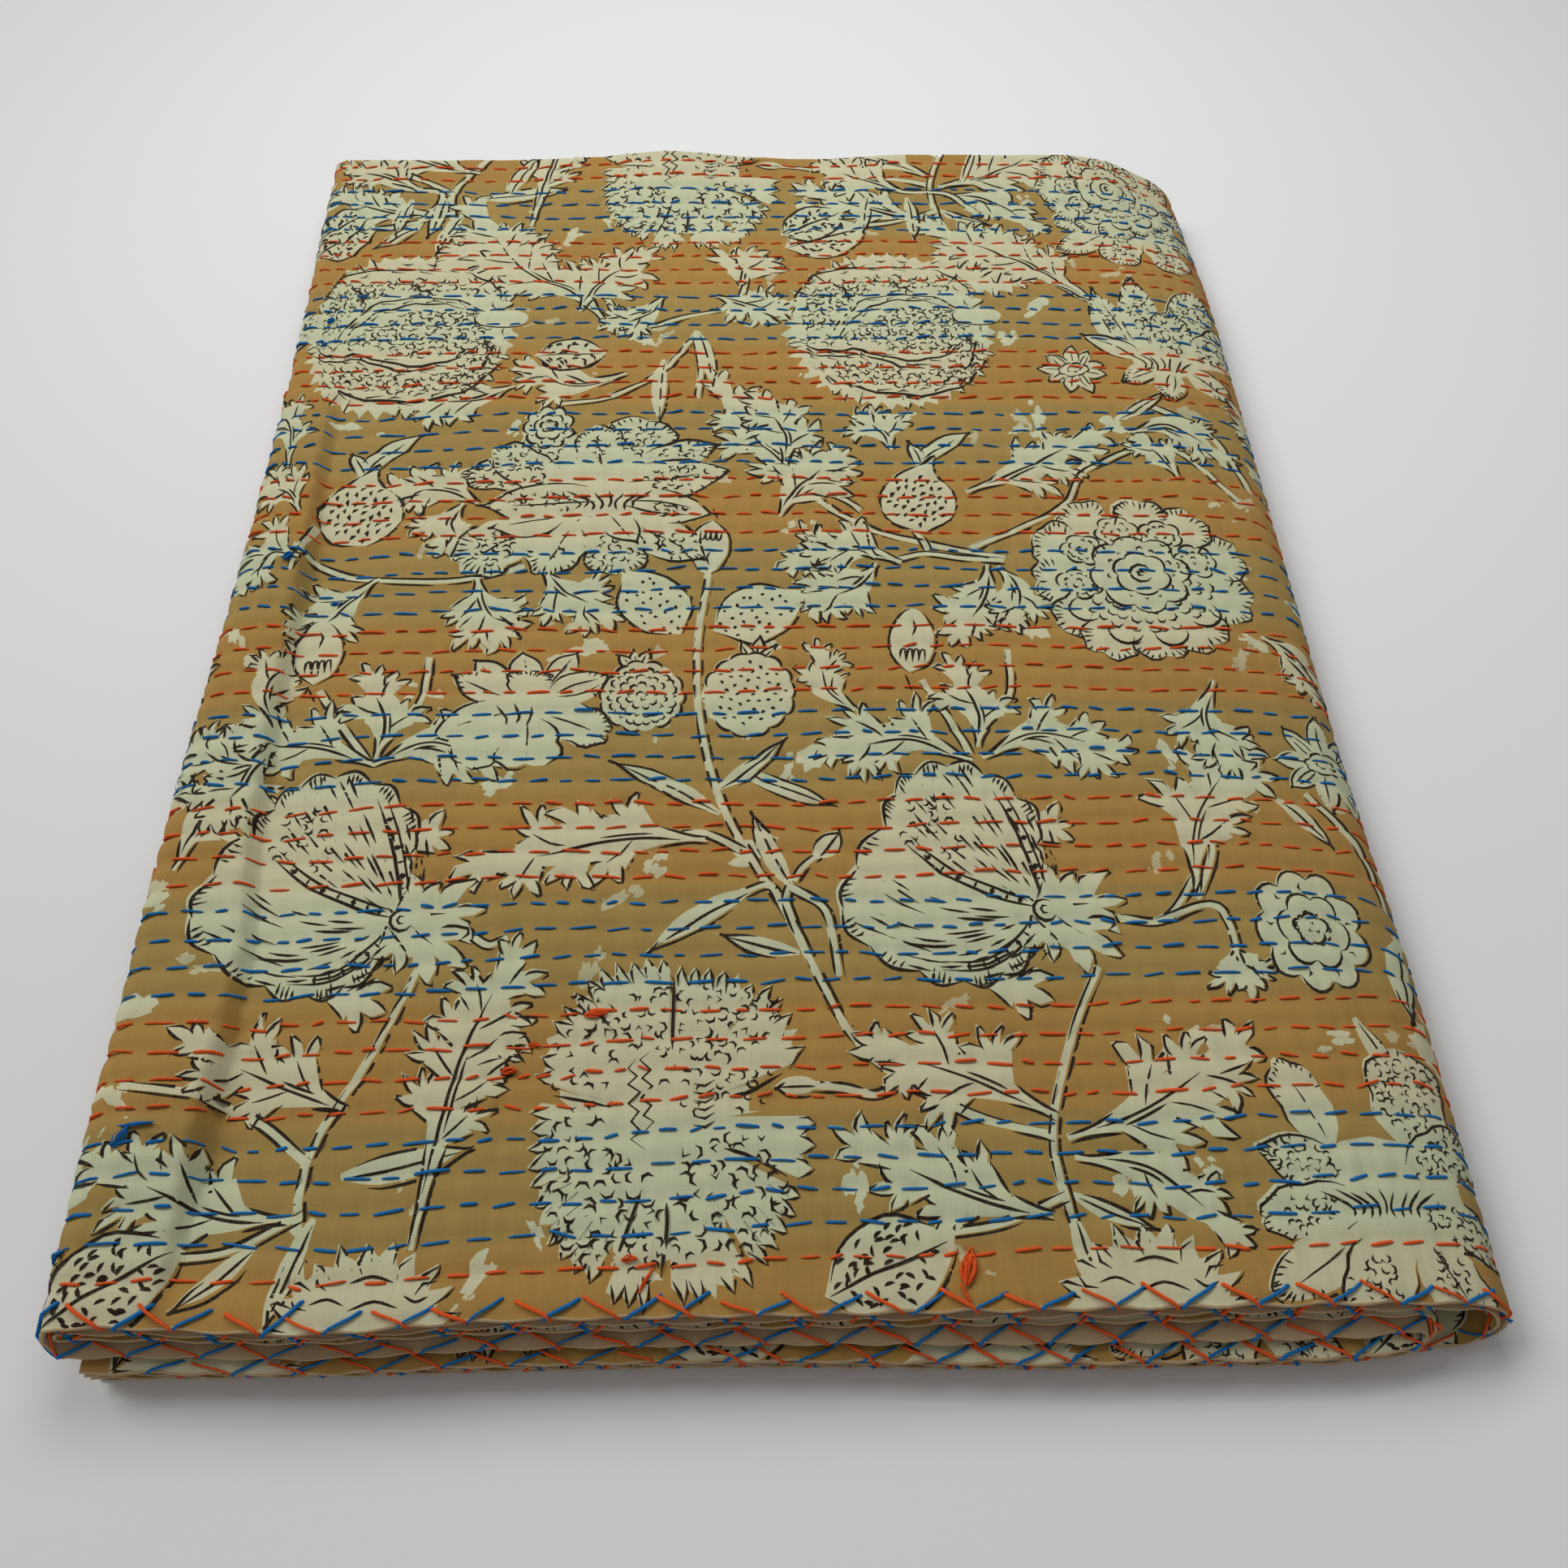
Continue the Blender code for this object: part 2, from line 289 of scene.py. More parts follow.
def band(path, wide):
    """The outline of a band along a path, whose width is given sample by sample."""
    half = beside(path) * np.reshape(wide, (-1, 1)) / 2
    return np.vstack([path + half, (path - half)[::-1]])


def inside(points, outline):
    """Which points lie inside an outline: a ray from the point crosses it an odd number of
    times."""
    x, y = points[:, :1], points[:, 1:]
    x0, y0 = outline[:, 0], outline[:, 1]
    x1, y1 = np.roll(x0, -1), np.roll(y0, -1)
    spans = (y0 > y) != (y1 > y)
    with np.errstate(divide="ignore", invalid="ignore"):
        reach = x0 + (y - y0) * (x1 - x0) / (y1 - y0)
    return (np.sum(spans & (x < reach), axis=1) % 2) == 1


class Block:
    """One motif's printing block: its shapes from the bottom up. Each is a colour and, for
    cream, an outline, or for ink, the two sides of a stroke."""

    def __init__(self, seed):
        self.shapes = []
        self.rng = np.random.default_rng(seed)

    def fill(self, outline, under=None):
        """A cream shape on top of the others, or slipped in under all from number under on."""
        place = len(self.shapes) if under is None else under
        self.shapes.insert(place, (CREAM, np.asarray(outline, float)))

    def pen(self, points, width=0.12, count=None):
        """A stroke along the points, or along a smooth curve through them: as wide as it says
        in the middle and pointed at both ends."""
        path = curve(points, count) if count else np.asarray(points, float)
        t = np.linspace(0, 1, len(path))
        wide = width * self.rng.uniform(0.85, 1.25) * np.clip(5 * np.minimum(t, 1 - t), 0.15, 1)
        half = beside(path) * wide[:, None] / 2
        self.shapes.append((INK, np.stack([path + half, path - half], 1)))

    def jitter(self, amount):
        """A small step in any direction, as an unsteady hand makes."""
        return self.rng.normal(0, amount, 2)

    def hook(self, at, degrees, size, width=0.11):
        """A little u, as for a scale or a seed, and now and then a v."""
        shape = arc(-0.3 * size, 0, size * 0.55, size * 0.5, -78, 78, 4)
        if self.rng.random() < 0.25:
            shape = np.array([[-0.35, -0.3], [0.1, 0.0], [-0.3, 0.35]]) * size
        turn = degrees + self.rng.uniform(-28, 28)
        self.pen(turned(shape * self.rng.uniform(0.8, 1.25), turn) + at, width)

    def scribble(self, outline, spacing, size, width=0.11):
        """Little hooks every which way, all over the inside of an outline."""
        low, high = outline.min(axis=0), outline.max(axis=0)
        x, y = np.meshgrid(*(np.arange(a, b, spacing) for a, b in zip(low, high)))
        spots = np.stack([x.ravel(), y.ravel()], 1)
        spots = spots + self.rng.uniform(-0.4, 0.4, spots.shape) * spacing
        for spot in spots[inside(spots, outline)]:
            self.hook(spot, self.rng.uniform(0, 360), size, width)

    def seeds(self, x, y, rx, ry, spacing, size, sure=0.9, width=0.11):
        """Rings of little u's that fill an ellipse, open towards its middle. sure is the chance
        that one is printed."""
        mean = (rx + ry) / 2
        rings = max(1, int(mean / spacing))
        for ring in range(rings):
            share = 1 - (ring + 0.5) / rings
            count = max(1, int(2 * math.pi * share * mean / spacing))
            angles = self.rng.uniform(0, 360) + 360 * np.arange(count) / count
            for a in angles + self.rng.uniform(-60, 60, count) / count:
                at = np.array([x, y]) + toward(a) * [rx * share, ry * share]
                if self.rng.random() < sure:
                    self.hook(at, a, size, width)

    def rim_of_teeth(self, middle, rx, ry, teeth, tooth, inked=0.8):
        """A cream disc with a sawn rim, and a short hooked stroke at most teeth. A point of the
        rim is at the radius of its angle plus or minus the tooth."""
        edge, under, middle = [], len(self.shapes), np.asarray(middle, float)
        for k in range(teeth):
            swell = tooth * self.rng.uniform(0.7, 1.5)
            for share, depth in ((0.0, -0.6), (0.35, 0.1), (0.62, 1.1), (0.85, 0.0)):
                grow = swell * (depth + self.rng.uniform(-0.3, 0.3))
                edge.append(middle + toward(360 * (k + share) / teeth) * [rx + grow, ry + grow])
            if self.rng.random() < inked:
                p = np.array(edge[-4:])
                root = p[1] * 0.86 + middle * 0.14
                self.pen([root + self.jitter(0.03), p[1] * 0.6 + p[2] * 0.4, p[2]], 0.13)
                if self.rng.random() < 0.5:
                    self.pen([p[2], p[3], p[3] * 0.93 + middle * 0.07], 0.12)
        self.fill(edge, under)

    def petal(self, root, length, wide, degrees, bend=0.0, blunt=0.0, veins=1, fringe=0.0, seeded=0.0):
        """A petal from its root: two bulging sides to a pointed or a blunt tip. It may have
        veins, a fringe of ticks round its tip and an oval of hooks."""
        half = wide / 2
        tip, full = half * 0.75 * blunt, half * (0.74 + 0.26 * blunt)
        side = [[0.0, 0.12], [0.3 * length, 0.85 * half], [0.68 * length, full], [0.93 * length, tip]]
        rim = np.array(side + [[length, 0.0]] + [[x, -y] for x, y in side[::-1]])
        rim[:, 1] += bend * (rim[:, 0] / length) ** 2
        edge = curve(rim, 25)
        if blunt > 0.5:  # the tip has three or four scallops
            share = (np.arange(5, 20) - 5) / 14
            deep = 0.07 * wide * self.rng.uniform(0.8, 1.3)
            deep = deep * np.abs(np.sin(self.rng.integers(3, 5) * math.pi * share))
            outward = (edge[5:20] - [0.6 * length, 0.0]) / (0.45 * wide)
            edge[5:20] += outward * (deep - 0.04 * wide)[:, None]
        edge = turned(edge, degrees) + root
        self.fill(edge)
        low = self.rng.integers(1, 5)
        self.pen(edge[low : self.rng.integers(11, 14)] + self.jitter(0.05), 0.13)
        self.pen(edge[12 : self.rng.integers(17, 24)] + self.jitter(0.05), 0.13)
        middle = edge.mean(axis=0)
        if fringe:
            for k in range(6, 19):
                inward = (middle - edge[k]) / np.linalg.norm(middle - edge[k])
                foot = edge[k] + inward * fringe * self.rng.uniform(0.7, 1.3)
                head = edge[k] + self.jitter(0.04)
                self.pen([head, (edge[k] + foot) / 2 + self.jitter(0.03), foot], 0.11)
        if seeded:
            self.scribble((edge - middle) * seeded + middle, 0.44, 0.40)
        for k in range(veins):
            off = (k - (veins - 1) / 2) * wide * 0.3
            vein = np.array([[0.15, 0.5 * off], [0.4, off], [0.75, 0.6 * off]]) * [length, 1]
            vein[:, 1] += bend * (vein[:, 0] / length) ** 2
            self.pen(turned(vein, degrees) + root + self.jitter(0.04), 0.09, 5)

    def lobe(self, root, degrees, length, wide, teeth=3, curl=0.0):
        """A finger of a leaf: it swells from its root and ends in a few long teeth side by side,
        like a paw. The ink is a loop round each tooth and a long stroke down the lower side."""
        upper = [[-0.1 * length, 0.30 * wide], [0.2 * length, 0.42 * wide], [0.5 * length, 0.56 * wide]]
        upper = curve(upper, 4)
        lower, span, under = upper[::-1] * [1, -1], 156 / teeth, len(self.shapes)
        fan, loops = [], []
        for k in range(teeth):
            a = 78 - span * (k + 0.5) + self.rng.uniform(-5, 5)
            out = np.array([0.56 * length, 0.56 * wide + 0.12 * length]) * self.rng.uniform(0.84, 1.14)
            hook = self.rng.uniform(-0.05, 0.25) * (1 if curl > 0 else -1)
            rim = ((0.47, 0.58), (0.33, 0.90), (0.06 + hook, 1.30), (-0.24, 0.98), (-0.46, 0.58))
            tooth = [
                [0.42 * length, 0.0] + out * share * toward(a + turn * span) for turn, share in rim
            ]
            fan += tooth
            loops.append(np.array(tooth))

        def placed(q):
            """Points of the straight finger, bent as a parabola and turned to where it grows."""
            q = np.array(q, float)
            q[:, 1] += curl * q[:, 0] ** 2 / length
            return turned(q, degrees) + root

        for loop in loops:
            t = placed(loop)
            if self.rng.random() < 0.65:
                self.pen(curve(t[:4], 6) + self.jitter(0.03), 0.125)
            else:
                self.pen(curve(t[:3], 4) + self.jitter(0.03), 0.135)
                self.pen(t[2:] + self.jitter(0.03), 0.11)
        self.fill(placed(np.vstack([upper, fan, lower])), under)
        low, high = (lower[:4], upper[::-1][:3]) if curl >= 0 else (upper[::-1][:4], lower[:3])
        self.pen(placed(low), 0.13)
        if self.rng.random() < 0.5:
            self.pen(placed(high), 0.12)

    def leaf(self, rib, lobes, wide, size, body=1.6):
        """A lobed leaf: a stalk that widens into a body along a bent rib, and paws to either side
        of it and at its end. Two long strokes follow the stalk's sides, a pair of lines the rib,
        and a vein goes to each paw."""
        path = curve(rib, 8 * len(rib))
        sides = beside(path)
        heading = np.degrees(np.arctan2(-sides[:, 0], sides[:, 1]))
        fingers = []
        for k in range(lobes):
            share = 0.30 + 0.64 * (k + 0.5) / lobes
            i, way = int(share * (len(path) - 1)), 1 if k % 2 else -1
            long = size * (0.66 + 0.40 * math.sin(math.pi * share)) * self.rng.uniform(0.9, 1.15)
            lean = heading[i] + way * self.rng.uniform(34, 52)
            fingers.append((path[i], lean, long))
            root = path[i] + toward(lean) * 0.1 * long
            teeth = int(self.rng.integers(3, 5))
            self.lobe(root, lean, long, wide, teeth, way * self.rng.uniform(-0.12, 0.2))
        root = path[-1] - toward(heading[-1]) * 0.2
        self.lobe(root, heading[-1], size * 0.92, wide * 0.9, 3, self.rng.uniform(-0.12, 0.12))
        share = np.linspace(0, 1, len(path))
        swell = body * np.clip((share - 0.08) / 0.45, 0, 1) ** 1.4
        swell = 0.30 + swell * np.sin(math.pi * np.clip(share, 0.5, 1)) ** 0.6
        self.fill(band(path, swell))
        j = max(3, int(0.36 * len(path)))
        for way in (1, -1):
            self.pen((path + way * sides * (swell[:, None] / 2 + 0.03))[:j], 0.14)
        self.pen(path[j // 2 : -3] + sides[j // 2 : -3] * 0.10, 0.12)
        half_way = int(len(path) * 0.66)
        self.pen(path[j:half_way] - sides[j:half_way] * 0.15, 0.11)
        for at, lean, long in fingers:
            reach = toward(lean) * long
            if self.rng.random() < 0.75:
                bent = at + reach * 0.4 + self.jitter(0.08)
                self.pen([at + reach * 0.1, bent, at + reach * 0.75], 0.10, 5)

    def stalk(self, points, wide=0.36):
        """A cream stalk between two ink lines, one of them broken."""
        path = curve(points, 7 * (len(points) - 1) + 1)
        side = beside(path)
        self.fill(band(path, np.full(len(path), wide)))
        self.pen(path + side * wide * 0.62, 0.13)
        other, i = path - side * wide * 0.58, 0
        while i < len(other) - 3:
            j = min(len(other), i + self.rng.integers(5, 11))
            self.pen(other[i:j], 0.12)
            i = j + self.rng.integers(0, 2)

    def lobed_ring(self, x, y, rx, ry, lobes, depth, phase=0.0, fill=False, gap=0.0, width=0.13):
        """A ring of round lobes, one bulging stroke for each. Some may be missing."""
        rings, under = [], len(self.shapes)
        for k in range(lobes):
            t = np.linspace(0, 1, 7)
            swell = 1 + depth * np.sin(math.pi * t) ** 0.8 * self.rng.uniform(0.75, 1.25)
            a = np.radians(phase + 360 * (k + t) / lobes)
            ring = np.stack([x + rx * swell * np.cos(a), y + ry * swell * np.sin(a)], 1)
            rings.append(ring[:-1])
            if self.rng.random() >= gap:
                self.pen(ring + self.jitter(0.03), width)
        if fill:
            self.fill(np.vstack(rings), under)
        return rings


def round_bloom():
    """A big chrysanthemum, squarish: bundles of petals with sawn ends, full of scribbled scales
    but for a sparse patch, with a gap, a zigzag or a comb between two bundles. The rim is a
    superellipse."""
    block = Block(3)
    block.fill(arc(-0.5, 0, 4.1, 6.0, 0, 345, 20))
    for start, end, long in (
        (20, 50, 1.02), (50, 88, 0.97), (90, 128, 1.02), (128, 166, 0.98), (173, 204, 0.98),
        (204, 243, 0.98), (248, 264, 1.06), (273, 304, 1.03), (306, 336, 0.98), (339, 361, 1.05),
    ):
        teeth, edge, under = max(3, int((end - start) / 6)), [], len(block.shapes)
        step = (end - start) / teeth
        for k in range(teeth):
            points = []
            for turn, out in ((-0.5, 0.955), (-0.1, 0.99), (0.12, 1.035), (0.4, 0.965)):
                way = toward(start + step * (k + 0.5 + turn))
                reach = long * (np.abs(way) ** 2.7).sum() ** (-1 / 2.7) * block.rng.uniform(0.985, 1.015)
                points.append(way * reach * out * [5.7, 7.1])
            edge += points
            if block.rng.random() < 0.85:
                block.pen([points[0] * 0.95 + block.jitter(0.05), points[1], points[2]], 0.13)
                block.pen([points[2], points[3], points[3] * 0.93 + block.jitter(0.05)], 0.12)
        block.fill(edge + [toward(end) * [2.6, 3.4], toward(start) * [2.6, 3.4]], under)
    sparse = curve([[-5.2, 3.6], [-2.8, 4.2], [-1.8, 1.6], [-2.4, -1.6], [-4.6, -1.0], [-5.2, 3.6]], 16)
    block.scribble(sparse, 0.85, 0.5, 0.13)
    block.scribble(arc(-4.5, -0.9, 0.9, 1.4, 0, 345, 12), 0.55, 0.45, 0.12)
    block.scribble(arc(-2.7, -3.5, 2.5, 2.3, 0, 345, 12), 0.62, 0.52, 0.13)
    block.scribble(arc(2.5, -3.0, 2.6, 2.8, 0, 345, 12), 0.62, 0.52, 0.13)
    for start, end, low, high in ((208, 240, 0.72, 0.84), (212, 236, 0.86, 0.95), (306, 334, 0.74, 0.90)):
        for a in np.arange(start, end, 5):
            ray = np.array([low, high])[:, None] * toward(a) * [5.7, 7.1] * 1.1
            block.pen(ray + block.rng.normal(0, 0.07, (2, 2)), 0.14)
    block.scribble(arc(1.0, 4.6, 4.0, 1.9, 0, 345, 12), 0.56, 0.42)
    block.scribble(arc(1.9, 1.7, 2.7, 1.5, 0, 345, 12), 0.66, 0.44)
    block.scribble(arc(-3.6, 5.0, 1.2, 1.4, 0, 345, 12), 0.58, 0.40)
    block.scribble(arc(-0.4, -5.6, 1.6, 1.0, 0, 345, 12), 0.58, 0.40)
    for top, bottom, x in ((2.8, -1.6, -1.5), (3.1, -0.6, -0.95)):
        y = np.arange(top, bottom, -0.40)
        zigzag = np.stack([x + 0.22 * (-1.0) ** np.arange(len(y)) - 0.1 * (y - 1), y], 1)
        block.pen(zigzag + block.rng.normal(0, 0.04, zigzag.shape), 0.12)
    for k in range(6):
        block.pen([[1.0, 1.6 - 0.36 * k], [1.5, 1.5 - 0.36 * k], [1.9, 1.75 - 0.36 * k]], 0.13)
    for a in (89, 169, 246, 268, 338, 17):
        line = np.array([2.6, 3.6, 5.2])[:, None] * toward(a) * [1, 1.25]
        block.pen(line + block.rng.normal(0, 0.08, line.shape), 0.13, 6)
    return block


def ribbed_fruit():
    """A pomegranate on its side: ribs fan out from the calyx at the lower right to a lobed rim,
    three of them ladders, with rows of hatching between them."""
    block = Block(5)
    joint, middle, ribs = np.array([3.2, -1.6]), np.array([-0.7, 0.6]), 13
    for root, degrees, length, wide in (([3.2, 2.6], 15, 2.0, 1.7), ([0.6, -5.1], -25, 2.3, 1.9)):
        block.lobe(np.array(root), degrees, length, wide, 3)
    ends = []
    for a in np.linspace(22, 312, ribs + 1):
        wide = 4.5 + 1.6 * bell(212, 32, a) - 1.1 * bell(150, 26, a)
        ends.append(middle + toward(a) * [wide, 5.8])
    under, rim = len(block.shapes), [joint + [0.2, 0.5]]
    for a, b in zip(ends, ends[1:]):
        out = (a + b) / 2 - middle
        out /= np.linalg.norm(out)
        sides = 0.72 * a + 0.28 * b + 0.36 * out, 0.28 * a + 0.72 * b + 0.36 * out
        lobe = curve([a, sides[0], (a + b) / 2 + 0.5 * out, sides[1], b], 8)
        rim += list(lobe[:-1])
        block.pen(lobe + block.jitter(0.04), 0.15)
        for k in (2, 3, 4, 5):  # short dark ticks under the rim
            foot = lobe[k] - out * block.rng.uniform(0.45, 0.8)
            block.pen([lobe[k] - out * 0.12, (lobe[k] + foot) / 2 + block.jitter(0.05), foot], 0.12)
    block.fill(rim + [ends[-1], joint + [-0.5, -0.6]], under)
    for k, end in enumerate(ends):
        away = end - joint
        bow = np.array([-away[1], away[0]]) * np.interp(k, [0, 5, 9, 13], [-0.10, 0.06, 0.20, 0.16])
        bent = 0.6 * end + 0.4 * joint + bow, 0.25 * end + 0.75 * joint + 0.75 * bow
        rib = curve([0.97 * end + 0.03 * joint, *bent, joint], 22)
        side = beside(rib)
        if k in (2, 6, 10):
            other = rib + side * 0.42
            block.pen(rib[2:-1], 0.14)
            block.pen(other[2:-2], 0.13)
            for j in range(5, 20, 2):
                block.pen([rib[j], (rib[j] + other[j]) / 2, other[j]], 0.26 if j % 4 == 1 else 0.13)
            continue
        for shift in (0.0, 0.50, -0.50):
            row = rib + side * (shift * np.linspace(1.0, 0.25, 22))[:, None]
            j = int(block.rng.integers(0, 4))
            while j < (19 if shift == 0 else 13):
                size = int(block.rng.integers(2, 6))
                dash = row[j : j + size + 1]
                if len(dash) > 2:
                    block.pen(dash[:: max(1, len(dash) // 3)] + block.jitter(0.07), 0.12)
                j += size + int(block.rng.integers(1, 3))
    block.scribble(arc(-1.6, 3.0, 1.7, 1.9, 0, 345, 12), 0.66, 0.42)
    for degrees, length, wide in ((48, 2.3, 1.7), (-85, 2.5, 1.9), (8, 3.7, 2.2), (-38, 3.5, 2.1)):
        block.lobe(joint, degrees, length, wide, 3)
        block.pen([joint + toward(degrees) * r + block.jitter(0.06) for r in (0.7, 1.3, 2.0)], 0.10)
    block.fill(arc(*joint, 0.66, 0.66, 0, 345, 14))
    block.pen(arc(*joint, 0.56, 0.56, 60, 330, 9), 0.18)
    block.pen(arc(*joint, 0.22, 0.22, 60, 300, 5), 0.13)
    block.pen([[3.2, 1.9], [3.5, 2.3], [3.4, 2.7]], 0.11, 5)
    return block


def frilled_bloom():
    """A round lotus like a cut cabbage: a frayed frill, and inside it wavy leaf edges that lie
    over each other with crescents of scribble between them."""
    block = Block(8)
    block.rim_of_teeth([0.0, -0.2], 6.25, 7.2, 44, 0.32, inked=0.45)
    upper = [[-5.3, -0.4], [-5.2, 1.9], [-3.7, 4.2], [-0.6, 4.9], [2.6, 4.8], [4.4, 3.2], [2.6, 3.6]]
    upper += [[0.2, 3.8], [-1.9, 3.0], [-3.2, 1.2], [-3.9, -0.6]]
    middle = [[-3.2, -1.9], [-2.2, -0.2], [-0.6, 1.2], [1.8, 1.8], [4.4, 1.2], [4.8, -1.4]]
    middle += [[2.8, -2.4], [0.4, -2.4], [-1.6, -1.6]]
    lower = [[-4.6, -3.4], [-1.9, -3.3], [1.0, -4.2], [2.8, -3.6], [4.2, -1.9], [5.2, -1.2]]
    lower += [[5.3, -3.7], [3.8, -5.3], [0.6, -5.7], [-2.6, -5.0]]
    for points in (upper, middle, lower, [[-5.9, -1.3], [-4.6, -2.0], [-3.6, -1.8], [-5.0, -1.0]]):
        loop = curve(points + [points[0]], 5 * len(points))
        block.scribble(loop, 0.42, 0.44)
    for points in (
        ([-4.6, -2.3], [-3.2, 0.2], [-1.5, 2.5], [1.2, 3.1], [3.6, 2.4], [5.0, 0.9]),  # a leaf's edge
        ([-3.8, -2.0], [-2.6, 0.2], [-1.1, 1.9], [1.2, 2.5], [3.3, 2.1]),
        ([-6.1, -1.4], [-4.1, -2.3], [-2.1, -2.2], [0.4, -3.2], [2.9, -2.9], [4.9, -0.9]),
        ([-5.9, -2.2], [-3.9, -2.9], [-1.9, -2.7], [0.4, -3.7], [2.3, -3.5]),
        ([-4.9, -3.8], [-3.0, -5.4], [0.2, -6.3], [3.4, -5.9], [5.3, -3.8], [5.6, -1.0]),
        ([-6.0, 0.6], [-5.7, 3.0], [-4.2, 5.2], [-1.0, 5.9], [2.2, 5.7]),
        ([3.0, 5.6], [4.7, 4.4], [5.4, 2.6]),
        ([4.4, -0.6], [5.0, -2.2], [4.2, -4.4]),
        ([-3.6, 4.4], [-2.6, 3.4], [-2.4, 2.2]),
        ([0.4, 4.7], [0.7, 3.9], [1.7, 3.4]),
    ):
        path = curve(points, 3 * len(points) + 2)
        path = path + beside(path) * (0.10 * np.sin(1.9 * np.arange(len(path))))[:, None]
        block.pen(path, 0.14)
        for k in range(2, len(path) - 2, 2):
            out = beside(path)[k] * block.rng.choice([-0.34, 0.34])
            block.pen([path[k], path[k] + out * 0.6 + block.jitter(0.06), path[k + 1] + out], 0.11)
    for a in np.arange(8, 360, 14):
        at = toward(a) * [5.6, 6.5] * block.rng.uniform(0.93, 1.01)
        block.pen(turned([[-0.34, 0], [0, 0.1], [0.34, 0]], a + 90) + at, 0.11)
    block.fill(arc(5.5, 1.0, 1.6, 0.85, 0, 340, 14))
    block.pen(arc(5.5, 1.0, 1.6, 0.85, 150, 335, 9), 0.13)
    return block


def peony():
    """A full peony: outer petals with fringed tips, scrolls and scribble between them, and
    rings of round lobes about a small eye."""
    block = Block(13)
    block.fill(arc(0, 0, 4.6, 4.3, 0, 345, 20))
    for a in (338, 18, 52, 84, 118, 150, 186, 216, 246, 274, 306):
        root = toward(a) * [2.2, 2.0]
        long, lean = 3.7 * block.rng.uniform(0.92, 1.08), a + block.rng.uniform(-6, 6)
        block.petal(root, long, 3.0, lean, 0, 1.0, 0, 0.5)
    block.fill(arc(0, 0, 4.0, 3.7, 0, 345, 18))
    for a in (20, 62, 104, 146, 190):
        at = toward(a) * [3.4, 3.2]
        block.lobed_ring(*at, 1.0, 0.9, 6, 0.22, a, gap=0.1, width=0.12)
        block.seeds(*at, 0.95, 0.85, 0.36, 0.3)
    for a in np.arange(205, 350, 13):
        for r in (2.6, 3.2, 3.8):
            block.hook(toward(a + block.rng.uniform(-5, 5)) * [r, r * 0.95], a, 0.56)
    for a in (215, 250, 285, 320):
        block.pen(arc(*(toward(a) * 3.9), 0.9, 0.8, a - 100, a + 90, 9), 0.14)
    block.fill(arc(0, 0.2, 2.4, 2.3, 0, 345, 18))
    block.lobed_ring(0, 0.2, 2.3, 2.2, 8, 0.2, 30, gap=0.1)
    block.lobed_ring(0.1, 0.2, 1.3, 1.25, 6, 0.18, 5)
    block.pen(arc(0.1, 0.2, 0.62, 0.6, 20, 330, 9), 0.13)
    block.pen(arc(0.1, 0.2, 0.2, 0.2, 0, 300, 5), 0.16)
    for a in range(0, 360, 30):
        at = np.array([0.1, 0.2]) + toward(a + block.rng.uniform(-8, 8)) * 1.75
        block.hook(at, a, 0.36)
    return block


def open_flower(seed, core, rows, comb):
    """A flower from the side: a cream core, then petal after petal, the later ones over the
    earlier, and a comb of curved strokes in front. A row has the petal's root, direction,
    length, width, bend, how blunt it is, its veins, its fringe and its share of scribble."""
    block = Block(seed)
    block.fill(arc(*core, 0, 340, 16))
    for x, y, degrees, *shape in rows:
        length, wide, bend, blunt, veins, fringe, seeded = shape
        block.petal(np.array([x, y]), length, wide, degrees, bend, blunt, veins, fringe, seeded)
    x, y, teeth, step = comb
    for k in range(teeth):
        at = np.array([x + step * k, y + 0.1 * math.sin(2.0 * k)])
        fanned = at + [0.3 * (k - teeth / 2) * step / 0.4, 1.2]
        block.pen([at, at + [0.1, 0.5] + block.jitter(0.06), fanned], 0.12, 6)
    return block


def layered_lotus(seed, size, tiers):
    """A lotus from the side: petals in tiers, the lower ones over the upper, and seeds in its
    cup. A tier gives its first and last direction, how many petals, their length and width, how
    blunt they are and the share of scribble in them."""
    block = Block(seed)
    for start, end, count, length, wide, blunt, seeded in tiers:
        for k, a in enumerate(np.linspace(start, end, count)):
            long = length * size * block.rng.uniform(0.88, 1.1)
            bend = block.rng.uniform(-0.5, 0.5) * size
            root = toward(a) * [0.7, 0.45] * size
            block.petal(root, long, wide * size, a, bend, blunt, 1 + k % 2, 0.4 * blunt, seeded)
    block.fill(arc(0, 0.1 * size, 1.5 * size, 0.95 * size, 0, 345, 16))
    block.lobed_ring(0, 0.1 * size, 1.35 * size, 0.8 * size, 8, 0.16, width=0.12)
    block.seeds(0, 0.1 * size, 1.2 * size, 0.68 * size, 0.40, 0.34)
    return block


def rosette(size):
    """A small wild rose: three rings of round lobes, one inside the other."""
    block = Block(55)
    block.lobed_ring(0, 0, 2.2 * size, 2.7 * size, 9, 0.2, fill=True, width=0.15)
    block.lobed_ring(0.1, 0, 1.35 * size, 1.6 * size, 6, 0.24, 20, gap=0.1)
    block.lobed_ring(0, 0.1, 0.62 * size, 0.66 * size, 5, 0.26, 50)
    for a in range(10, 370, 40):
        ray = [toward(a + turn) * [1.75, 2.1] * size * r for turn, r in ((0, 1), (3, 1.09), (0, 1.2))]
        block.pen(ray, 0.11)
    block.seeds(0.1, 0.1, 1.0 * size, 1.1 * size, 0.42, 0.3)
    return block


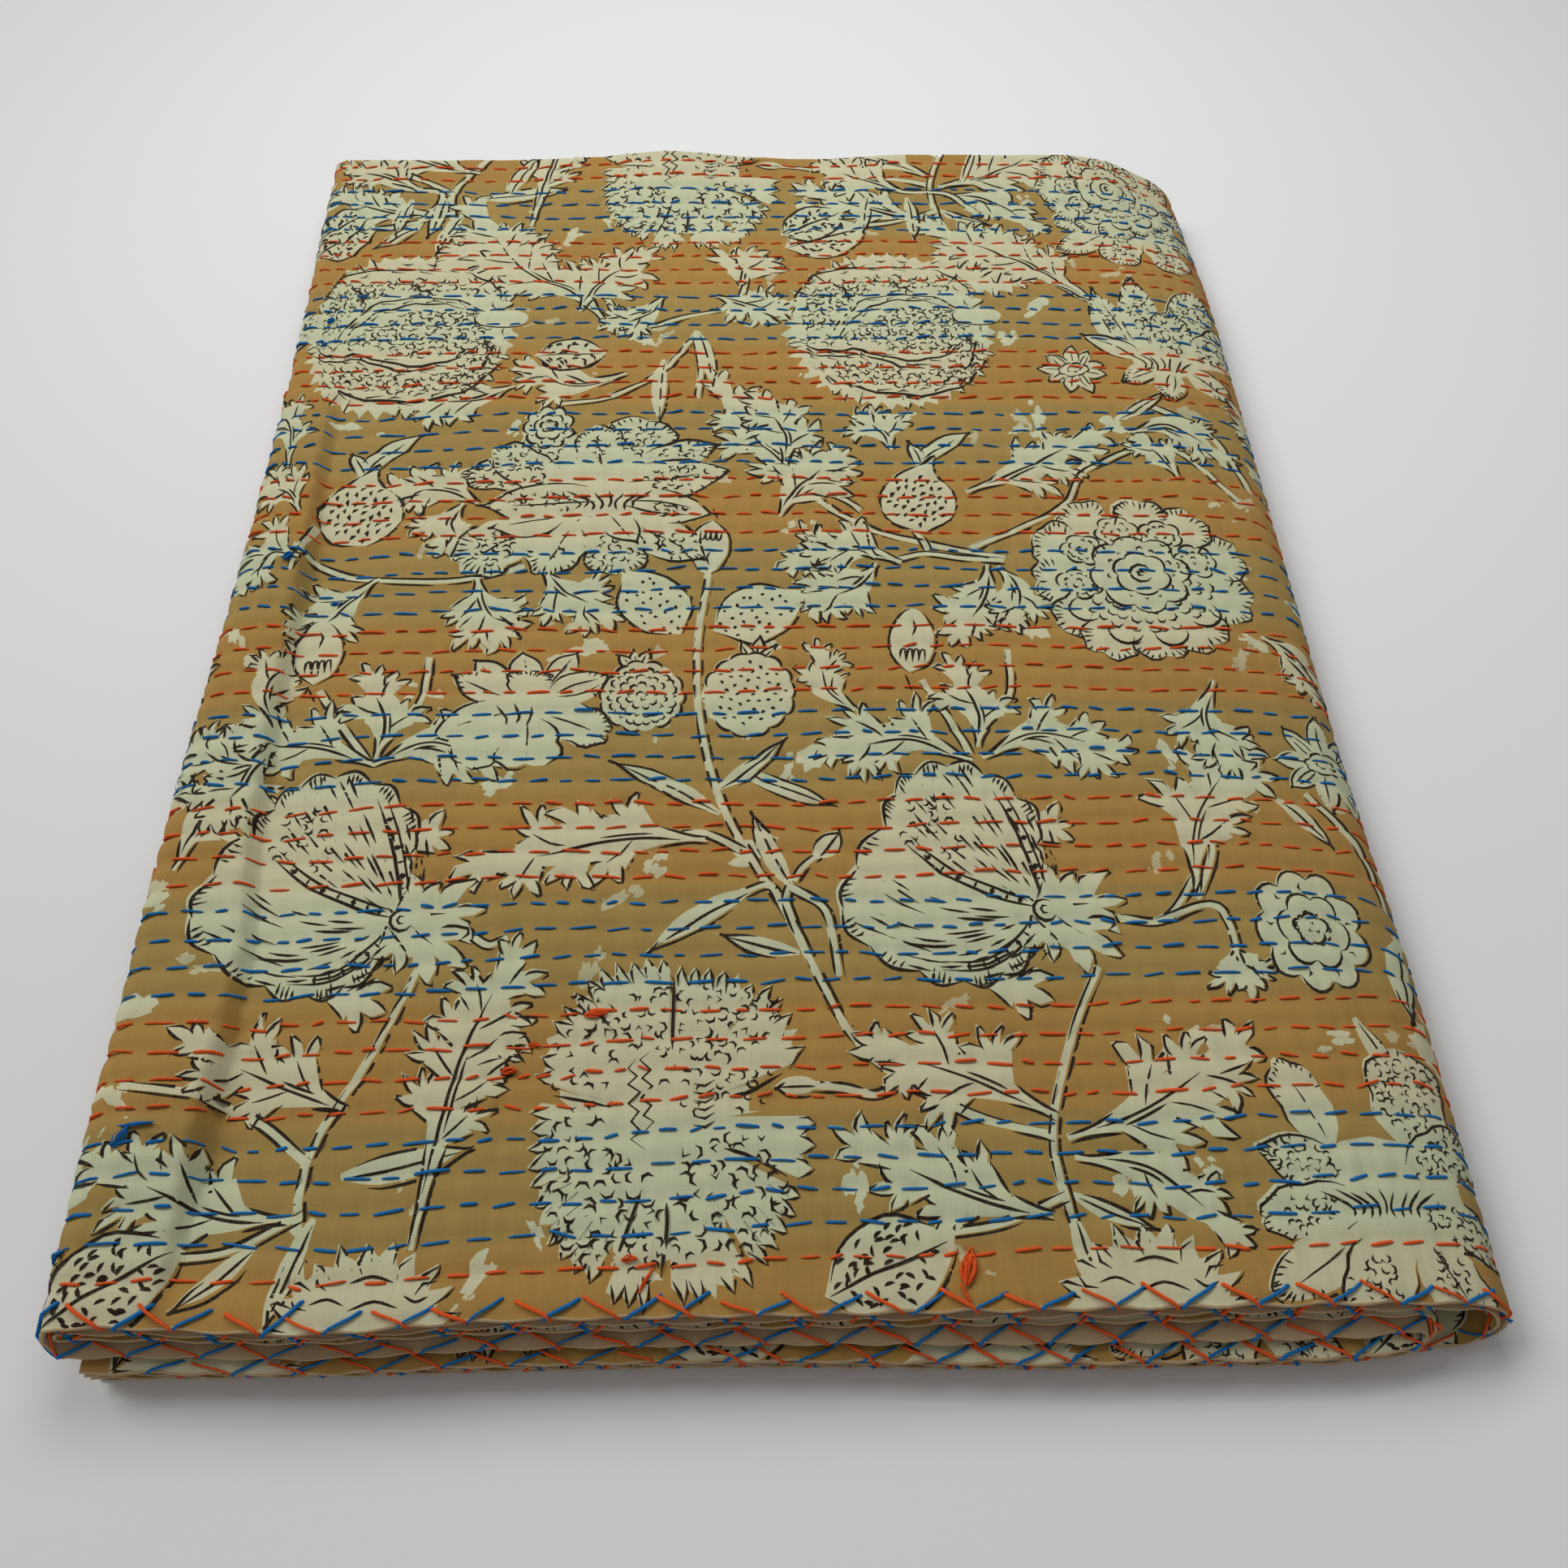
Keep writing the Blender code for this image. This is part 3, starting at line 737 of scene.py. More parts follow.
def berry(seed, rx, ry, scaly):
    """A round fruit, with rings of scales or with scattered dots, and a pointed tuft on top."""
    block = Block(seed)
    for a in (60, 92, 124):
        block.petal(np.array([0.0, ry * 0.75]), ry * 0.75, 0.7, a)
    block.lobed_ring(0, 0, rx, ry, 14, 0.07, fill=True, gap=0.12, width=0.14)
    if scaly:
        block.seeds(0, 0, rx * 0.94, ry * 0.94, 0.46, 0.44, sure=1.0, width=0.12)
        return block
    count = int(rx * ry * 8)
    for k in range(count):
        at = toward(137.5 * k) * [rx, ry] * 0.85 * math.sqrt((k + 0.5) / count)
        block.pen(turned([[-0.12, 0], [0, 0.03], [0.13, 0]], block.rng.uniform(-50, 50)) + at, 0.16)
    return block


def bud():
    """A closed bud: an egg shape with the points of its petals at one end."""
    block = Block(71)
    right = [[0, -2.1], [1.0, -1.2], [1.2, 0.5], [0.45, 2.0]]
    edge = curve(right + [[-0.35, 2.1], [-1.1, 0.7], [-1.0, -1.0], [0, -2.1]], 22)
    block.fill(edge[:-1])
    block.pen(edge[:10] + [0.05, 0], 0.14)
    block.pen(edge[11:] - [0.06, 0], 0.14)
    for x in (-0.55, -0.2, 0.12, 0.45):
        block.pen([[x - 0.05, -1.4 + abs(x) * 0.4], [x, -0.6], [x + 0.2, -0.5], [x + 0.25, -1.3]], 0.13, 7)
    block.pen([[0.0, 0.4], [0.15, 1.0], [0.0, 1.5]], 0.12, 5)
    block.pen([[-0.3, -2.2], [-0.1, -2.7], [0.1, -3.2]], 0.12, 5)
    return block


def seed_leaf(seed, rx, ry, bold):
    """A broad leaf with one rib, full of short dashes. The bold one is printed heavily."""
    block = Block(seed)
    upper = [[-rx, 0], [-rx * 0.45, ry * 0.85], [rx * 0.35, ry], [rx * 0.9, ry * 0.35]]
    lower = [[rx * 1.15, -0.1 * ry], [rx * 0.5, -ry * 0.9], [-rx * 0.4, -ry], [-rx, 0]]
    edge = curve(upper + lower, 26)
    block.fill(edge[:-1])
    block.pen(edge[1:12] + [0.03, 0.05], 0.15)
    block.pen(edge[15:26] + [0.03, -0.04], 0.19 if bold else 0.14)
    if bold:
        block.pen([[-rx * 0.95, 0], [-rx * 0.3, 0.1], [rx * 0.3, -0.05], [rx, -0.1]], 0.13, 12)
    for x in np.arange(-rx * 0.8, rx * 0.95, 0.50 if bold else 0.62):
        for y in np.arange(-ry * 0.8, ry * 0.85, 0.42 if bold else 0.6):
            at = np.array([x, y]) + block.jitter(0.13 if bold else 0.09)
            if (at[0] / rx) ** 2 + (at[1] / ry) ** 2 > 0.74 or (bold and abs(at[1]) < 0.2):
                continue
            lean = 32 * np.sign(at[1]) + block.rng.uniform(-55, 55)
            dash = np.array([[-0.22, -0.01], [-0.08, 0.03], [0.08, 0.03], [0.22, -0.02]])
            block.pen(turned(dash * (1.0 if bold else 0.5), lean) + at, 0.145)
    return block


def cut_bloom():
    """A bloom that the hem cuts through: a frayed half round with a few long folds in it."""
    block = Block(37)
    block.rim_of_teeth([0.0, 0.0], 3.5, 3.4, 22, 0.40, inked=0.75)
    folds = ((-1.5, 1.5, 0.7, 0.2), (0.2, 2.3, 0.9, 0.2), (0.4, 1.2, 1.0, 0.3), (2.1, 1.6, 0.5, -0.3))
    for x, y, long, rise in folds:
        block.pen(curve([[x - long, y], [x, y + rise], [x + long, y - 0.1]], 7), 0.12)
    for a in (38, 62, 95, 128, 150):
        block.pen([toward(a) * 2.6, toward(a + 3) * 3.1, toward(a - 2) * 3.6], 0.12)
    return block


def blade(seed, length, wide, bend):
    """A narrow pointed leaf with a line down its middle."""
    block = Block(seed)
    block.petal(np.zeros(2), length, wide, 0, bend, 0.0, 0)
    block.pen([[0.2, 0], [length * 0.4, bend * 0.2], [length * 0.9, bend * 0.8]], 0.11, 8)
    return block


def drop_shape():
    """A pear-shaped fruit, with rows of short dashes, and a hooked leaf where it hangs."""
    block = Block(77)
    block.petal(np.array([0.2, 1.8]), 3.6, 1.1, 52, -0.9)
    block.petal(np.array([0.4, 1.6]), 2.0, 0.9, 100, 0.3)
    right = [[0.2, -2.9], [1.6, -2.0], [1.9, -0.4], [1.0, 1.2], [1.0, 2.4]]
    edge = curve(right + [[0.1, 1.7], [-1.1, 0.9], [-1.9, -0.6], [-1.4, -2.3], [0.2, -2.9]], 30)
    block.fill(edge[:-1])
    for i in range(0, 27, 4):
        block.pen(edge[i : i + 5] + block.jitter(0.04), 0.14)
    for k in range(40):
        share = math.sqrt((k + 0.5) / 40)
        at = np.array([0.0, -0.7]) + toward(137.5 * k) * [1.5 * share, 1.8 * share]
        block.pen(turned([[-0.18, 0], [0, 0.05], [0.18, 0]], block.rng.uniform(20, 90)) + at, 0.17)
    return block


def worn(seed, spread, patches, largest=0.5, colour=WORN):
    """Where the ground has not taken: a few ragged flecks in a loose row. Each is an oval with
    two lobes whose rim jumps in and out from point to point."""
    block = Block(seed)
    lean = block.rng.uniform(-80, 80)
    for number in range(patches):
        size = block.rng.uniform(0.09, largest) / (1 + 0.25 * number)
        a = np.linspace(0, 2 * np.pi, 15, endpoint=False) + block.rng.uniform(-0.15, 0.15, 15)
        lobes = 0.28 * np.sin(2 * a + block.rng.uniform(0, 6))
        r = size * (0.85 + lobes + block.rng.uniform(-0.30, 0.30, 15))
        place = block.rng.normal(0, spread, 2) * [1.6, 0.6]
        fleck = np.stack([1.6 * r * np.cos(a), 0.95 * r * np.sin(a)], 1) + place
        block.shapes.append((colour, turned(fleck, lean)))
    return block


def prints():
    """The print's layout: each motif with its place in cm on the top of the pack, its turn in
    degrees and its size. Later motifs lie over earlier ones."""
    placed = []

    def put(block, x, y, degrees=0, size=1):
        """Adds a motif on top of those before it."""
        placed.append((block, x, y, degrees, size))

    rng = np.random.default_rng(4)
    for k in range(80):
        place = rng.uniform(-29, 29), rng.uniform(-37, 29)
        shade = CREAM if k % 3 == 0 else WORN
        put(worn(200 + k, 0.42, int(rng.integers(3, 7)), 0.5, shade), *place, rng.uniform(-40, 40))
    bare_places = (
        (-14.3, 12.6), (-23, 13), (7.8, 13.4), (15.6, 13.8), (20, 12.9), (-10.4, -4.2),
        (-27.6, -3.4), (-26.4, -14), (-13.6, -12.2), (-28, -12.6), (-1.6, -16.2), (17.8, -25.8),
        (24, -26), (14.8, -31.8), (2.6, -32.4), (21, -8.6), (15.6, -9.6), (-2.4, 30.6),
        (-12.6, -35.8), (-8, 20.6), (17, 23.6), (1.8, -10.6), (-7, -35.6), (12.4, -1.6),
    )
    for k, place in enumerate(bare_places):
        put(worn(300 + k, 0.45, 6, 0.7, CREAM), *place, rng.uniform(-30, 30))
    rubbed_places = (  # along the left fold
        (-29.2, -12.6), (-29, -19.8), (-29.3, -24), (-28.6, -27.6), (-29, -31),
        (-28.8, 0.6), (-28.6, 9),
    )
    for k, place in enumerate(rubbed_places):
        put(worn(330 + k, 0.7, 8, 0.95, CREAM), *place, 70)
    stalks = Block(90)
    for points in (
        (
            (-3.6, 1.5), (-4.2, -4), (-3.9, -9.5), (-2.6, -14.5),
            (0.2, -20), (3, -26), (7, -29), (11, -30.3),
        ),
        ((14, -22.5), (12.5, -25.5), (11, -30), (11.2, -33), (11.8, -36)),
        ((-16.4, -22), (-18.2, -26.5), (-20.2, -31), (-19.4, -36)),
        ((-28, -27.5), (-23.5, -28.5), (-20.2, -30.8)),
        ((15.3, -20), (17.5, -20), (19.5, -17.5)),
        ((17, -20.2), (20, -19.4), (20.6, -22.5)),
        ((-14.5, -20.3), (-13.5, -21), (-12.6, -20.6)),
        ((-20, -10.8), (-21.4, -8.6), (-22.8, -6.2)),
        ((-19.6, -9.4), (-18, -7.4), (-17.8, -4.4)),
        ((9.3, -10.8), (8.4, -8.6), (7.3, -6.2)),
        ((9.8, -9.4), (11.6, -7.2), (11.9, -4.2)),
        ((-25.5, 3.2), (-22, 1.4), (-17.5, 0.8), (-13.5, 1.8)),
        ((-9.3, 20.8), (-5, 22.5), (-0.5, 24)),
        ((-9, 20.5), (-10, 24), (-12.5, 27.5)),
        ((-4.4, 21), (-6.5, 17.5), (-9.5, 15.2), (-12.5, 14.5)),
        ((-4.6, 20.8), (-4.2, 17.5), (-4.4, 15)),
        ((-1.4, 27), (-1.7, 24.8), (-3, 23.2)),
        ((22.5, 21), (21, 23.5), (17.5, 26.5)),
        ((22, 14.8), (26, 12.5), (27.8, 8)),
        ((10.5, 2.8), (16, 6), (18, 9), (23, 11), (27, 7)),
        ((-2, 11.5), (2, 7), (6, 4), (12.5, 2.2)),
        ((-25.5, 1.5), (-24.5, 5)),
        ((8.3, 2.8), (7.6, 4.4)),
        ((6.2, 2), (8, 2.5), (10, 2.2), (12.4, 2)),
        ((-27.5, 38), (-23.5, 36), (-20.8, 35.2), (-22, 31.5)),
        ((5, 37), (9, 35.3), (12, 35), (14, 33)),
        ((-1.9, -16.2), (-4, -15.2), (-6, -15.6)),
        ((-0.2, -19), (-0.8, -18.1), (-2, -18.5)),
        ((0.4, -17.9), (0.8, -17.2), (1.7, -16.4)),
        ((0.2, -18), (0, -19), (0.5, -20.6)),
        ((5, -27.6), (3.6, -28.3), (2.2, -28), (0.8, -27.9)),
        ((19.8, -12.5), (20.5, -16), (19.2, -19)),
        ((0.2, -18.2), (1.8, -19.5), (2.3, -22.8)),
        ((26, -13), (27.8, -15.5), (28.5, -19)),
        ((5.6, -34.3), (8.4, -33.9), (11.2, -32.8)),
        ((-24.8, -34.6), (-22.6, -34.2), (-19.9, -32.8)),
    ):
        stalks.stalk(points)
    put(stalks, 0, 0)

    def lobed_leaf(seed, x, y, rib, lobes, wide, long, body=1.6, degrees=0, size=1):
        """A leaf whose rib starts at x, y, with its number of lobes and their width and length."""
        block = Block(seed)
        block.leaf([(0, 0)] + rib, lobes, wide, long, body)
        put(block, x, y, degrees, size)

    for leaf in (
        (121, -20.5, -33, [(-3, 0.2), (-6.5, 1.6)], 5, 1.46, 2.34),
        (122, -18.8, -28.6, [(-2.5, 1), (-6, 2.6)], 4, 1.51, 2.3),
        (123, 10.6, -33.6, [(-3, 0.8), (-6.8, 2.6)], 5, 1.51, 2.41),
        (124, 11.2, -29.4, [(-3, 1.6), (-6.5, 3)], 4, 1.6, 2.41),
        (125, 11.6, -30.4, [(3.5, 1.2), (7, 3.4)], 5, 1.64, 2.55),
        (126, 11.8, -31.2, [(3, -0.6), (5.5, -2.8)], 2, 1.36, 1.96),
        (127, -3.6, -15.6, [(-4, 0.2), (-9.5, -1)], 6, 1.72, 2.64, 2.2),
        (128, 19.2, -18.6, [(0.8, 3.8), (3.2, 7.2)], 5, 1.72, 2.74, 2.2),
        (129, -19.6, -11, [(-3, 1.4), (-6, 1.6)], 4, 1.51, 2.3),
        (130, -19.8, -11, [(2.4, 1.2), (4.6, 0.4)], 4, 1.42, 2.09),
        (129, 9.4, -11.2, [(-3, 1.4), (-6, 1)], 4, 1.51, 2.3),
        (130, 9.9, -11, [(2.8, 1.4), (6, 0.6)], 5, 1.42, 2.19),
        (131, -10, 21.8, [(-2, 3), (-5.5, 5.5), (-8.5, 11)], 8, 1.72, 2.74, 2.2),
        (132, -11.8, 23, [(1, 2.5), (3.2, 5)], 4, 1.6, 2.3),
        (131, 21.4, 23.4, [(-3, 3), (-5.5, 5), (-9.8, 7.6)], 7, 1.72, 2.64, 2.2),
        (133, -1.8, 25.5, [(0.3, 2.2)], 3, 1.6, 2.3),
        (134, -8.6, 17.2, [(-3, -1), (-5.5, 0.4)], 4, 1.36, 1.96),
        (135, 4.8, 5.8, [(-2.6, 2.4), (-5.6, 5.6), (-7.6, 9.6)], 7, 1.64, 2.44),
        (136, 6.8, 1.9, [(-2.4, 1), (-5, 0.4)], 4, 1.6, 2.2),
        (137, 10.8, 7.2, [(3.4, 1.8), (7.2, 4.2)], 5, 1.6, 2.41),
        (138, -21, 1.2, [(-1.4, -1.6), (-2.6, -3.2)], 3, 1.45, 2.07),
        (139, -16, 1, [(0.4, -1.8), (1.2, -3.2)], 4, 1.6, 2.19),
        (140, -12.6, 1.6, [(1.2, -1.6), (3, -2.8)], 3, 1.42, 2.09),
        (141, -25, 2.4, [(-1.8, 0.4), (-3, -0.6)], 4, 1.69, 2.3),
        (142, -27.4, 9.2, [(-0.4, 3), (-1.8, 5.4)], 4, 1.51, 2.09),
        (143, -28, -17, [(0.8, 2.6), (2.4, 4)], 4, 1.51, 2.09),
        (144, 22.6, -6.2, [(-1, -2.4), (-0.4, -4.4)], 3, 1.45, 2.07),
        (145, -22.2, 35.8, [(-2, 1.4), (-4.6, 2)], 4, 1.51, 2.09),
        (146, 9, 35.4, [(-2, 1), (-4.4, 2.4)], 4, 1.51, 2.09),
        (147, 23.4, 8.6, [(-0.6, 1.4), (-1.4, 2.6)], 2, 1.08, 1.64),
        (148, 21, 12.2, [(2.6, 0.6), (5, -1.2)], 3, 1.18, 1.85),
        (149, 3.8, -8, [(-2, -0.6), (-4.2, 0.2)], 3, 1.36, 1.96, 1.6, -60, 0.85),
        (173, 9.7, -10.4, [(0.3, 2.2), (-0.5, 4.4)], 3, 1.3, 1.9),
        (173, -19.7, -10.6, [(0.3, 2.2), (-0.5, 4.4)], 3, 1.3, 1.9),
        (150, -24.5, -8.6, [(1.4, 1.6), (3.6, 2)], 3, 1.21, 1.85, 1.6, 60),
        (152, -16.4, 6.6, [(-1.6, 1), (-3.4, 1.2)], 4, 1.58, 2.04),
        (153, -17.2, 6.6, [(-0.6, -1.4), (-0.2, -2.6)], 3, 1.28, 1.65),
        (154, -25.6, 5.8, [(-1, 1.4), (-2.6, 2)], 3, 1.58, 1.94),
        (155, -15.2, 16.2, [(2, 1), (4.4, 1.2)], 4, 1.67, 2.13, 1.6, 180),
        (156, 0.2, 5.4, [(1, 2), (3, 4)], 5, 1.74, 2.14),
        (157, 0.6, 9.4, [(0.2, 2.4), (-0.8, 4.6)], 4, 1.67, 2.13),
        (158, 6.8, 10.6, [(-0.4, 1.4), (-1.2, 2.4)], 3, 1.28, 1.65),
        (159, 26, -3, [(1.6, 0.8), (3.4, 0.6)], 3, 1.38, 1.75, 1.6, -60),
        (160, -24.6, -9.8, [(-0.8, -2), (-1.8, -3.6)], 4, 1.48, 1.84),
        (161, -25.2, -11, [(-1.6, 0.2), (-3, 1)], 3, 1.28, 1.75),
        (162, -3.4, 24.6, [(1.6, -0.8), (3.4, -1.4)], 4, 1.48, 1.84),
        (163, -6.6, 24.6, [(-1, -1.8), (-2.6, -2.6)], 3, 1.38, 1.75),
        (164, -14, -22.4, [(1.4, -1.4), (2, -3.2)], 4, 1.58, 1.94, 1.6, -20),
        (165, 5.4, 1.9, [(-1, -1.4), (-2.8, -2.4)], 4, 1.58, 2.04),
        (166, 5.4, 2.2, [(-1, 0.8), (-2.6, 0.6)], 3, 1.48, 1.84),
        (167, 11.4, 1.8, [(-0.4, -2.2), (-1.6, -4.2)], 4, 1.48, 1.94),
        (168, 12, 1.6, [(0.8, -1.6), (0.6, -3.2)], 3, 1.28, 1.65),
    ):
        lobed_leaf(*leaf)
    # narrow leaves
    for seed, length, wide, bend, x, y, degrees in (
        (97, 6.4, 1.1, 0.9, -3, -14.2, 142), (98, 5, 1, 0.6, -2, -11.6, -32),
        (99, 4.6, 0.9, 0.7, -3.2, -12.8, 34), (100, 4.6, 1.1, -0.5, 0.3, -18.2, 120),
        (101, 2, 1.3, 0.1, 1.5, -16.7, 50), (102, 5.6, 1.2, 0.9, -1.6, -18.4, 204),
        (103, 3.9, 0.9, -0.5, 0.6, -21.6, 172), (172, 2, 0.9, 0.1, 1.2, -27.9, 178),
        (104, 4.6, 0.9, 0.5, -19.4, -33, -112), (105, 3.8, 0.9, -0.5, -21.6, -34, -128),
        (106, 4, 0.9, 0.5, 11.4, -33.6, -82), (107, 3.6, 0.8, 0.4, 11.5, -32.8, -30),
        (108, 5.4, 1.3, 0.7, -18.6, -31.4, 4), (109, 5, 1, -0.7, -4.4, 21, -72),
        (110, 5.6, 1, 0.6, -6.4, 18.4, -98), (111, 4.4, 0.9, 0.6, 20.4, 13.2, 30),
        (112, 4.4, 1, 0.8, 25.2, -25, -70), (113, 4, 1, 0.5, -22.4, 34.6, -108),
        (114, 4.4, 1, -0.5, -20.6, 34.8, -92), (115, 4.2, 1, 0.5, 6.8, 35, -104),
        (116, 4.4, 0.9, -0.5, 9.4, 34.6, -82), (117, 4.4, 1.1, 0.8, 13.2, 36, 62),
        (118, 5, 1.2, -0.8, -17, 35, 78), (120, 3.4, 0.9, 0.5, 27, -4, -60),
        (170, 4.6, 1.3, 1.2, 28.6, -20.4, -112), (171, 3.4, 1, -0.6, 24.4, -13.4, -40),
    ):
        put(blade(seed, length, wide, bend), x, y, degrees)
    lobed_leaf(111, -15.4, -34.4, [(0.6, 4.5), (1.4, 8.4), (2.8, 12)], 9, 1.34, 2.27, 1.3)
    # fruits, buds and small flowers
    put(seed_leaf(83, 2.7, 1.8, True), -27, -35.8, 35)
    put(seed_leaf(83, 2.7, 1.9, True), 3.6, -35.6, 25)
    put(seed_leaf(84, 2.5, 1.7, False), -6.5, -1, 125)
    put(seed_leaf(85, 2.5, 1.8, False), -1.2, -1.6, 30)
    put(seed_leaf(86, 2.3, 1.5, True), 2.8, 32, 35)
    put(seed_leaf(86, 2.3, 1.5, True), -27.4, 31.8, 35)
    put(seed_leaf(87, 2, 1.3, True), -12.2, 19, 5)
    put(berry(60, 2, 2.1, True), -7, -7, 10)
    put(berry(61, 2.2, 2.5, False), -1.6, -6.9, -10)
    put(drop_shape(), -22.5, 7, 8, 1.16)
    put(drop_shape(), 8, 7.4, 0, 1.12)
    put(bud(), -23.3, -3.7, 4)
    put(bud(), 6.9, -3.6, -6)
    put(bud(), -3.6, 3.2, 176, 0.9)
    lobed_leaf(151, 20.4, -21.6, [(0.2, -1)], 2, 1.13, 1.65)
    put(layered_lotus(34, 0.8, ((0, 330, 9, 2.8, 1.6, 0.3, 0),)), 18.4, 17.6, 10, 0.8)
    put(layered_lotus(35, 0.8, ((0, 330, 9, 3.6, 1.7, 0.1, 0),)), 27.6, -11, 10, 0.9)
    side_bloom = (
        (-0.9, 0.6, 128, 2.8, 1.6, 0.3, 0, 1, 0, 0),
        (0.9, 0.6, 62, 3, 1.6, -0.2, 0, 1, 0, 0),
        (0, 0.6, 96, 2.6, 1.9, 0.2, 0.1, 1, 0, 0),
        (-0.8, 0.2, 160, 3.4, 2, -0.4, 0.1, 1, 0.3, 0),
        (0.9, 0.2, 14, 3.6, 2.2, 0.4, 0.1, 2, 0.3, 0),
        (-0.6, -0.6, 196, 3.8, 2.4, 0.3, 0.4, 1, 0, 0),
        (0.8, -0.8, -20, 3.6, 2.6, -0.2, 0.8, 1, 0.3, 0),
        (-0.9, -1, 232, 3.4, 2.6, 0.2, 0.9, 0, 0, 0),
        (0.2, -1, 272, 3, 3, 0, 1, 1, 0, 0),
        (0, 0.2, 84, 1.7, 2.4, 0.1, 1, 0, 0.4, 0),
    )
    put(open_flower(36, (0, -0.4, 2.4, 1.9), side_bloom, (-0.9, -1.5, 3, 0.5)), -12.8, -7.2, 0, 1.02)
    put(cut_bloom(), -17, -37.6, 0, 0.95)
    put(cut_bloom(), 14.2, -37.8)
    # a lily that opens to both sides
    lily = (
        (-1.7, 1.8, 122, 3.4, 3.6, 0.2, 1, 0, 0.4, 0.6),
        (1.5, 2.1, 76, 3.7, 3.8, 0, 1, 0, 0.4, 0.6),
        (0.2, 1.6, 104, 3.6, 2.6, -0.3, 0.8, 1, 0.3, 0.5),
        (1.8, 2, 20, 4.9, 2.4, 0.3, 0.1, 1, 0.3, 0.7),
        (-3, 1.3, 168, 4, 2.4, 0.4, 0.7, 0, 0.4, 0.8),
        (-1.8, 0.8, 152, 4.6, 2.6, -0.6, 0.8, 0, 0.3, 0.7),
        (0.4, 0.9, 6, 6.4, 3.2, 0.3, 0.3, 1, 0.3, 0.6),
        (0.9, -0.2, 186, 7.2, 3.2, -0.4, 0.1, 1, 0.3, 0.6),
        (-3, -2, 213, 4.6, 3.4, 0.2, 0.8, 1, 0.7, 0.6),
        (-1.2, -1.8, 250, 3.8, 3, -0.2, 0.6, 1, 0.4, 0.3),
        (1.6, -1.8, -32, 4.8, 2.8, -0.2, 0.1, 1, 0.4, 0.6),
        (0.8, -1.8, 274, 3.5, 3.2, 0.1, 0.9, 0, 0.4, 0.7),
        (0.6, -0.4, -8, 5.6, 2.6, -0.2, 0, 2, 0, 0.4),
        (-1.6, -1.2, 198, 4, 2, -0.3, 0, 1, 0, 0),
        (0.4, -0.9, -58, 3, 1.8, 0.2, 0, 1, 0, 0),
    )
    put(open_flower(21, (-0.2, 0.2, 4, 3.2), lily, (-1.2, -0.9, 8, 0.42)), -9.8, 7, 0, 1.08)
    # one with long petals that stand up, and one that the hem cuts
    tall_bloom = (
        (-1.4, 0, 118, 7.4, 2.6, -0.8, 0.1, 2, 0.4, 0.4),
        (-0.4, 0.2, 96, 8.2, 3, 0.3, 0.3, 1, 0.5, 0.6),
        (0.9, 0.2, 72, 8, 3.4, 0.4, 0.7, 0, 0.5, 0.8),
        (1.8, 0, 48, 6.6, 3.2, 0.6, 0.8, 0, 0.4, 0.8),
        (-1, 0, 142, 4.6, 1.8, 0.8, 0, 1, 0, 0),
        (0.6, 0, 82, 5.2, 2.8, 0.3, 0.7, 0, 0.4, 0.8),
        (0, -0.4, 205, 3, 1.8, 0.5, 0.2, 2, 0.3, 0),
        (0.8, -0.6, 262, 2.8, 2.2, 0, 0.3, 2, 0.4, 0),
        (1.6, -0.2, -28, 3.8, 2.2, -0.4, 0.2, 1, 0.4, 0.4),
    )
    put(open_flower(22, (0.3, 0, 2, 1.4), tall_bloom, (-1, -0.6, 7, 0.4)), 24, 18.4, -6, 0.98)
    hem_bloom = (
        (-1.8, 1.6, 106, 5, 2.6, 0.4, 0.7, 1, 0.3, 0),
        (2.4, 1.4, 86, 5.6, 4, 0, 1, 0, 0.3, 0.8),
        (-1.2, 0.6, 164, 4.6, 2.8, -0.2, 0.3, 0, 0.4, 0.9),
        (-0.6, -0.6, 186, 5.4, 2.8, 0.2, 0.8, 0, 0.3, 0.6),
        (1.4, 0.4, 24, 4.6, 3, 0.4, 0.7, 0, 0.4, 0.8),
        (-1.8, -2.2, 222, 5, 2.8, -0.9, 0.5, 1, 0.5, 0),
        (1.2, -1.2, -12, 5, 3, -0.3, 0.6, 0, 0.5, 0.8),
        (0, -2, 246, 4.6, 3.4, 0.2, 0.9, 0, 0.4, 0.6),
        (1.6, -2.2, 292, 4.6, 3.2, 0.2, 0.8, 1, 0.5, 0.7),
    )
    put(open_flower(23, (0.2, -0.6, 3.8, 3), hem_bloom, (-1.6, -1.4, 9, 0.4)), 24.3, -32.6, 0, 0.88)
    put(rosette(1), 24.2, -20.6)
    put(rosette(0.55), -13, 12.6)
    # the big blooms
    put(frilled_bloom(), -21.9, 21.4)
    put(frilled_bloom(), 7.4, 21.6)
    put(peony(), 19.8, 1, 0, 1.05)
    put(peony(), 23.2, 35.8, 30, 0.85)
    put(ribbed_fruit(), -20.8, -18)
    put(ribbed_fruit(), 8.7, -17.9)
    put(round_bloom(), -5.2, -29.3)
    return placed


REPEAT_P, REPEAT_V = 0.584, 0.661  # the print's repeat

FINE_FROM, FINE_TO, COARSE_FROM = -0.318, 0.338, 0.345  # p of the top and the turns beside it
HEM_STEP = 0.0045  # from point to point along the hems

# Where the print can be seen: lowest and highest p, lowest and highest v, and the shortest
# shape that is worth its triangles there
SEEN = (
    (FINE_FROM, COARSE_FROM, -0.01, HALF + TURN + 0.012, 0.0),  # the top, the spine, the left fold
    (P_END, P_START, -0.01, 0.030, 0.0),  # the front hems
    (P_END, P_START, WIDTH - 0.030, WIDTH + 0.01, 0.0),
    (P_END, P_START, HALF - 0.02, HALF + TURN + 0.02, 0.008),  # the first fold, from behind
    (COARSE_FROM, P_START, 0.03, HALF, 0.02),  # the underside
)


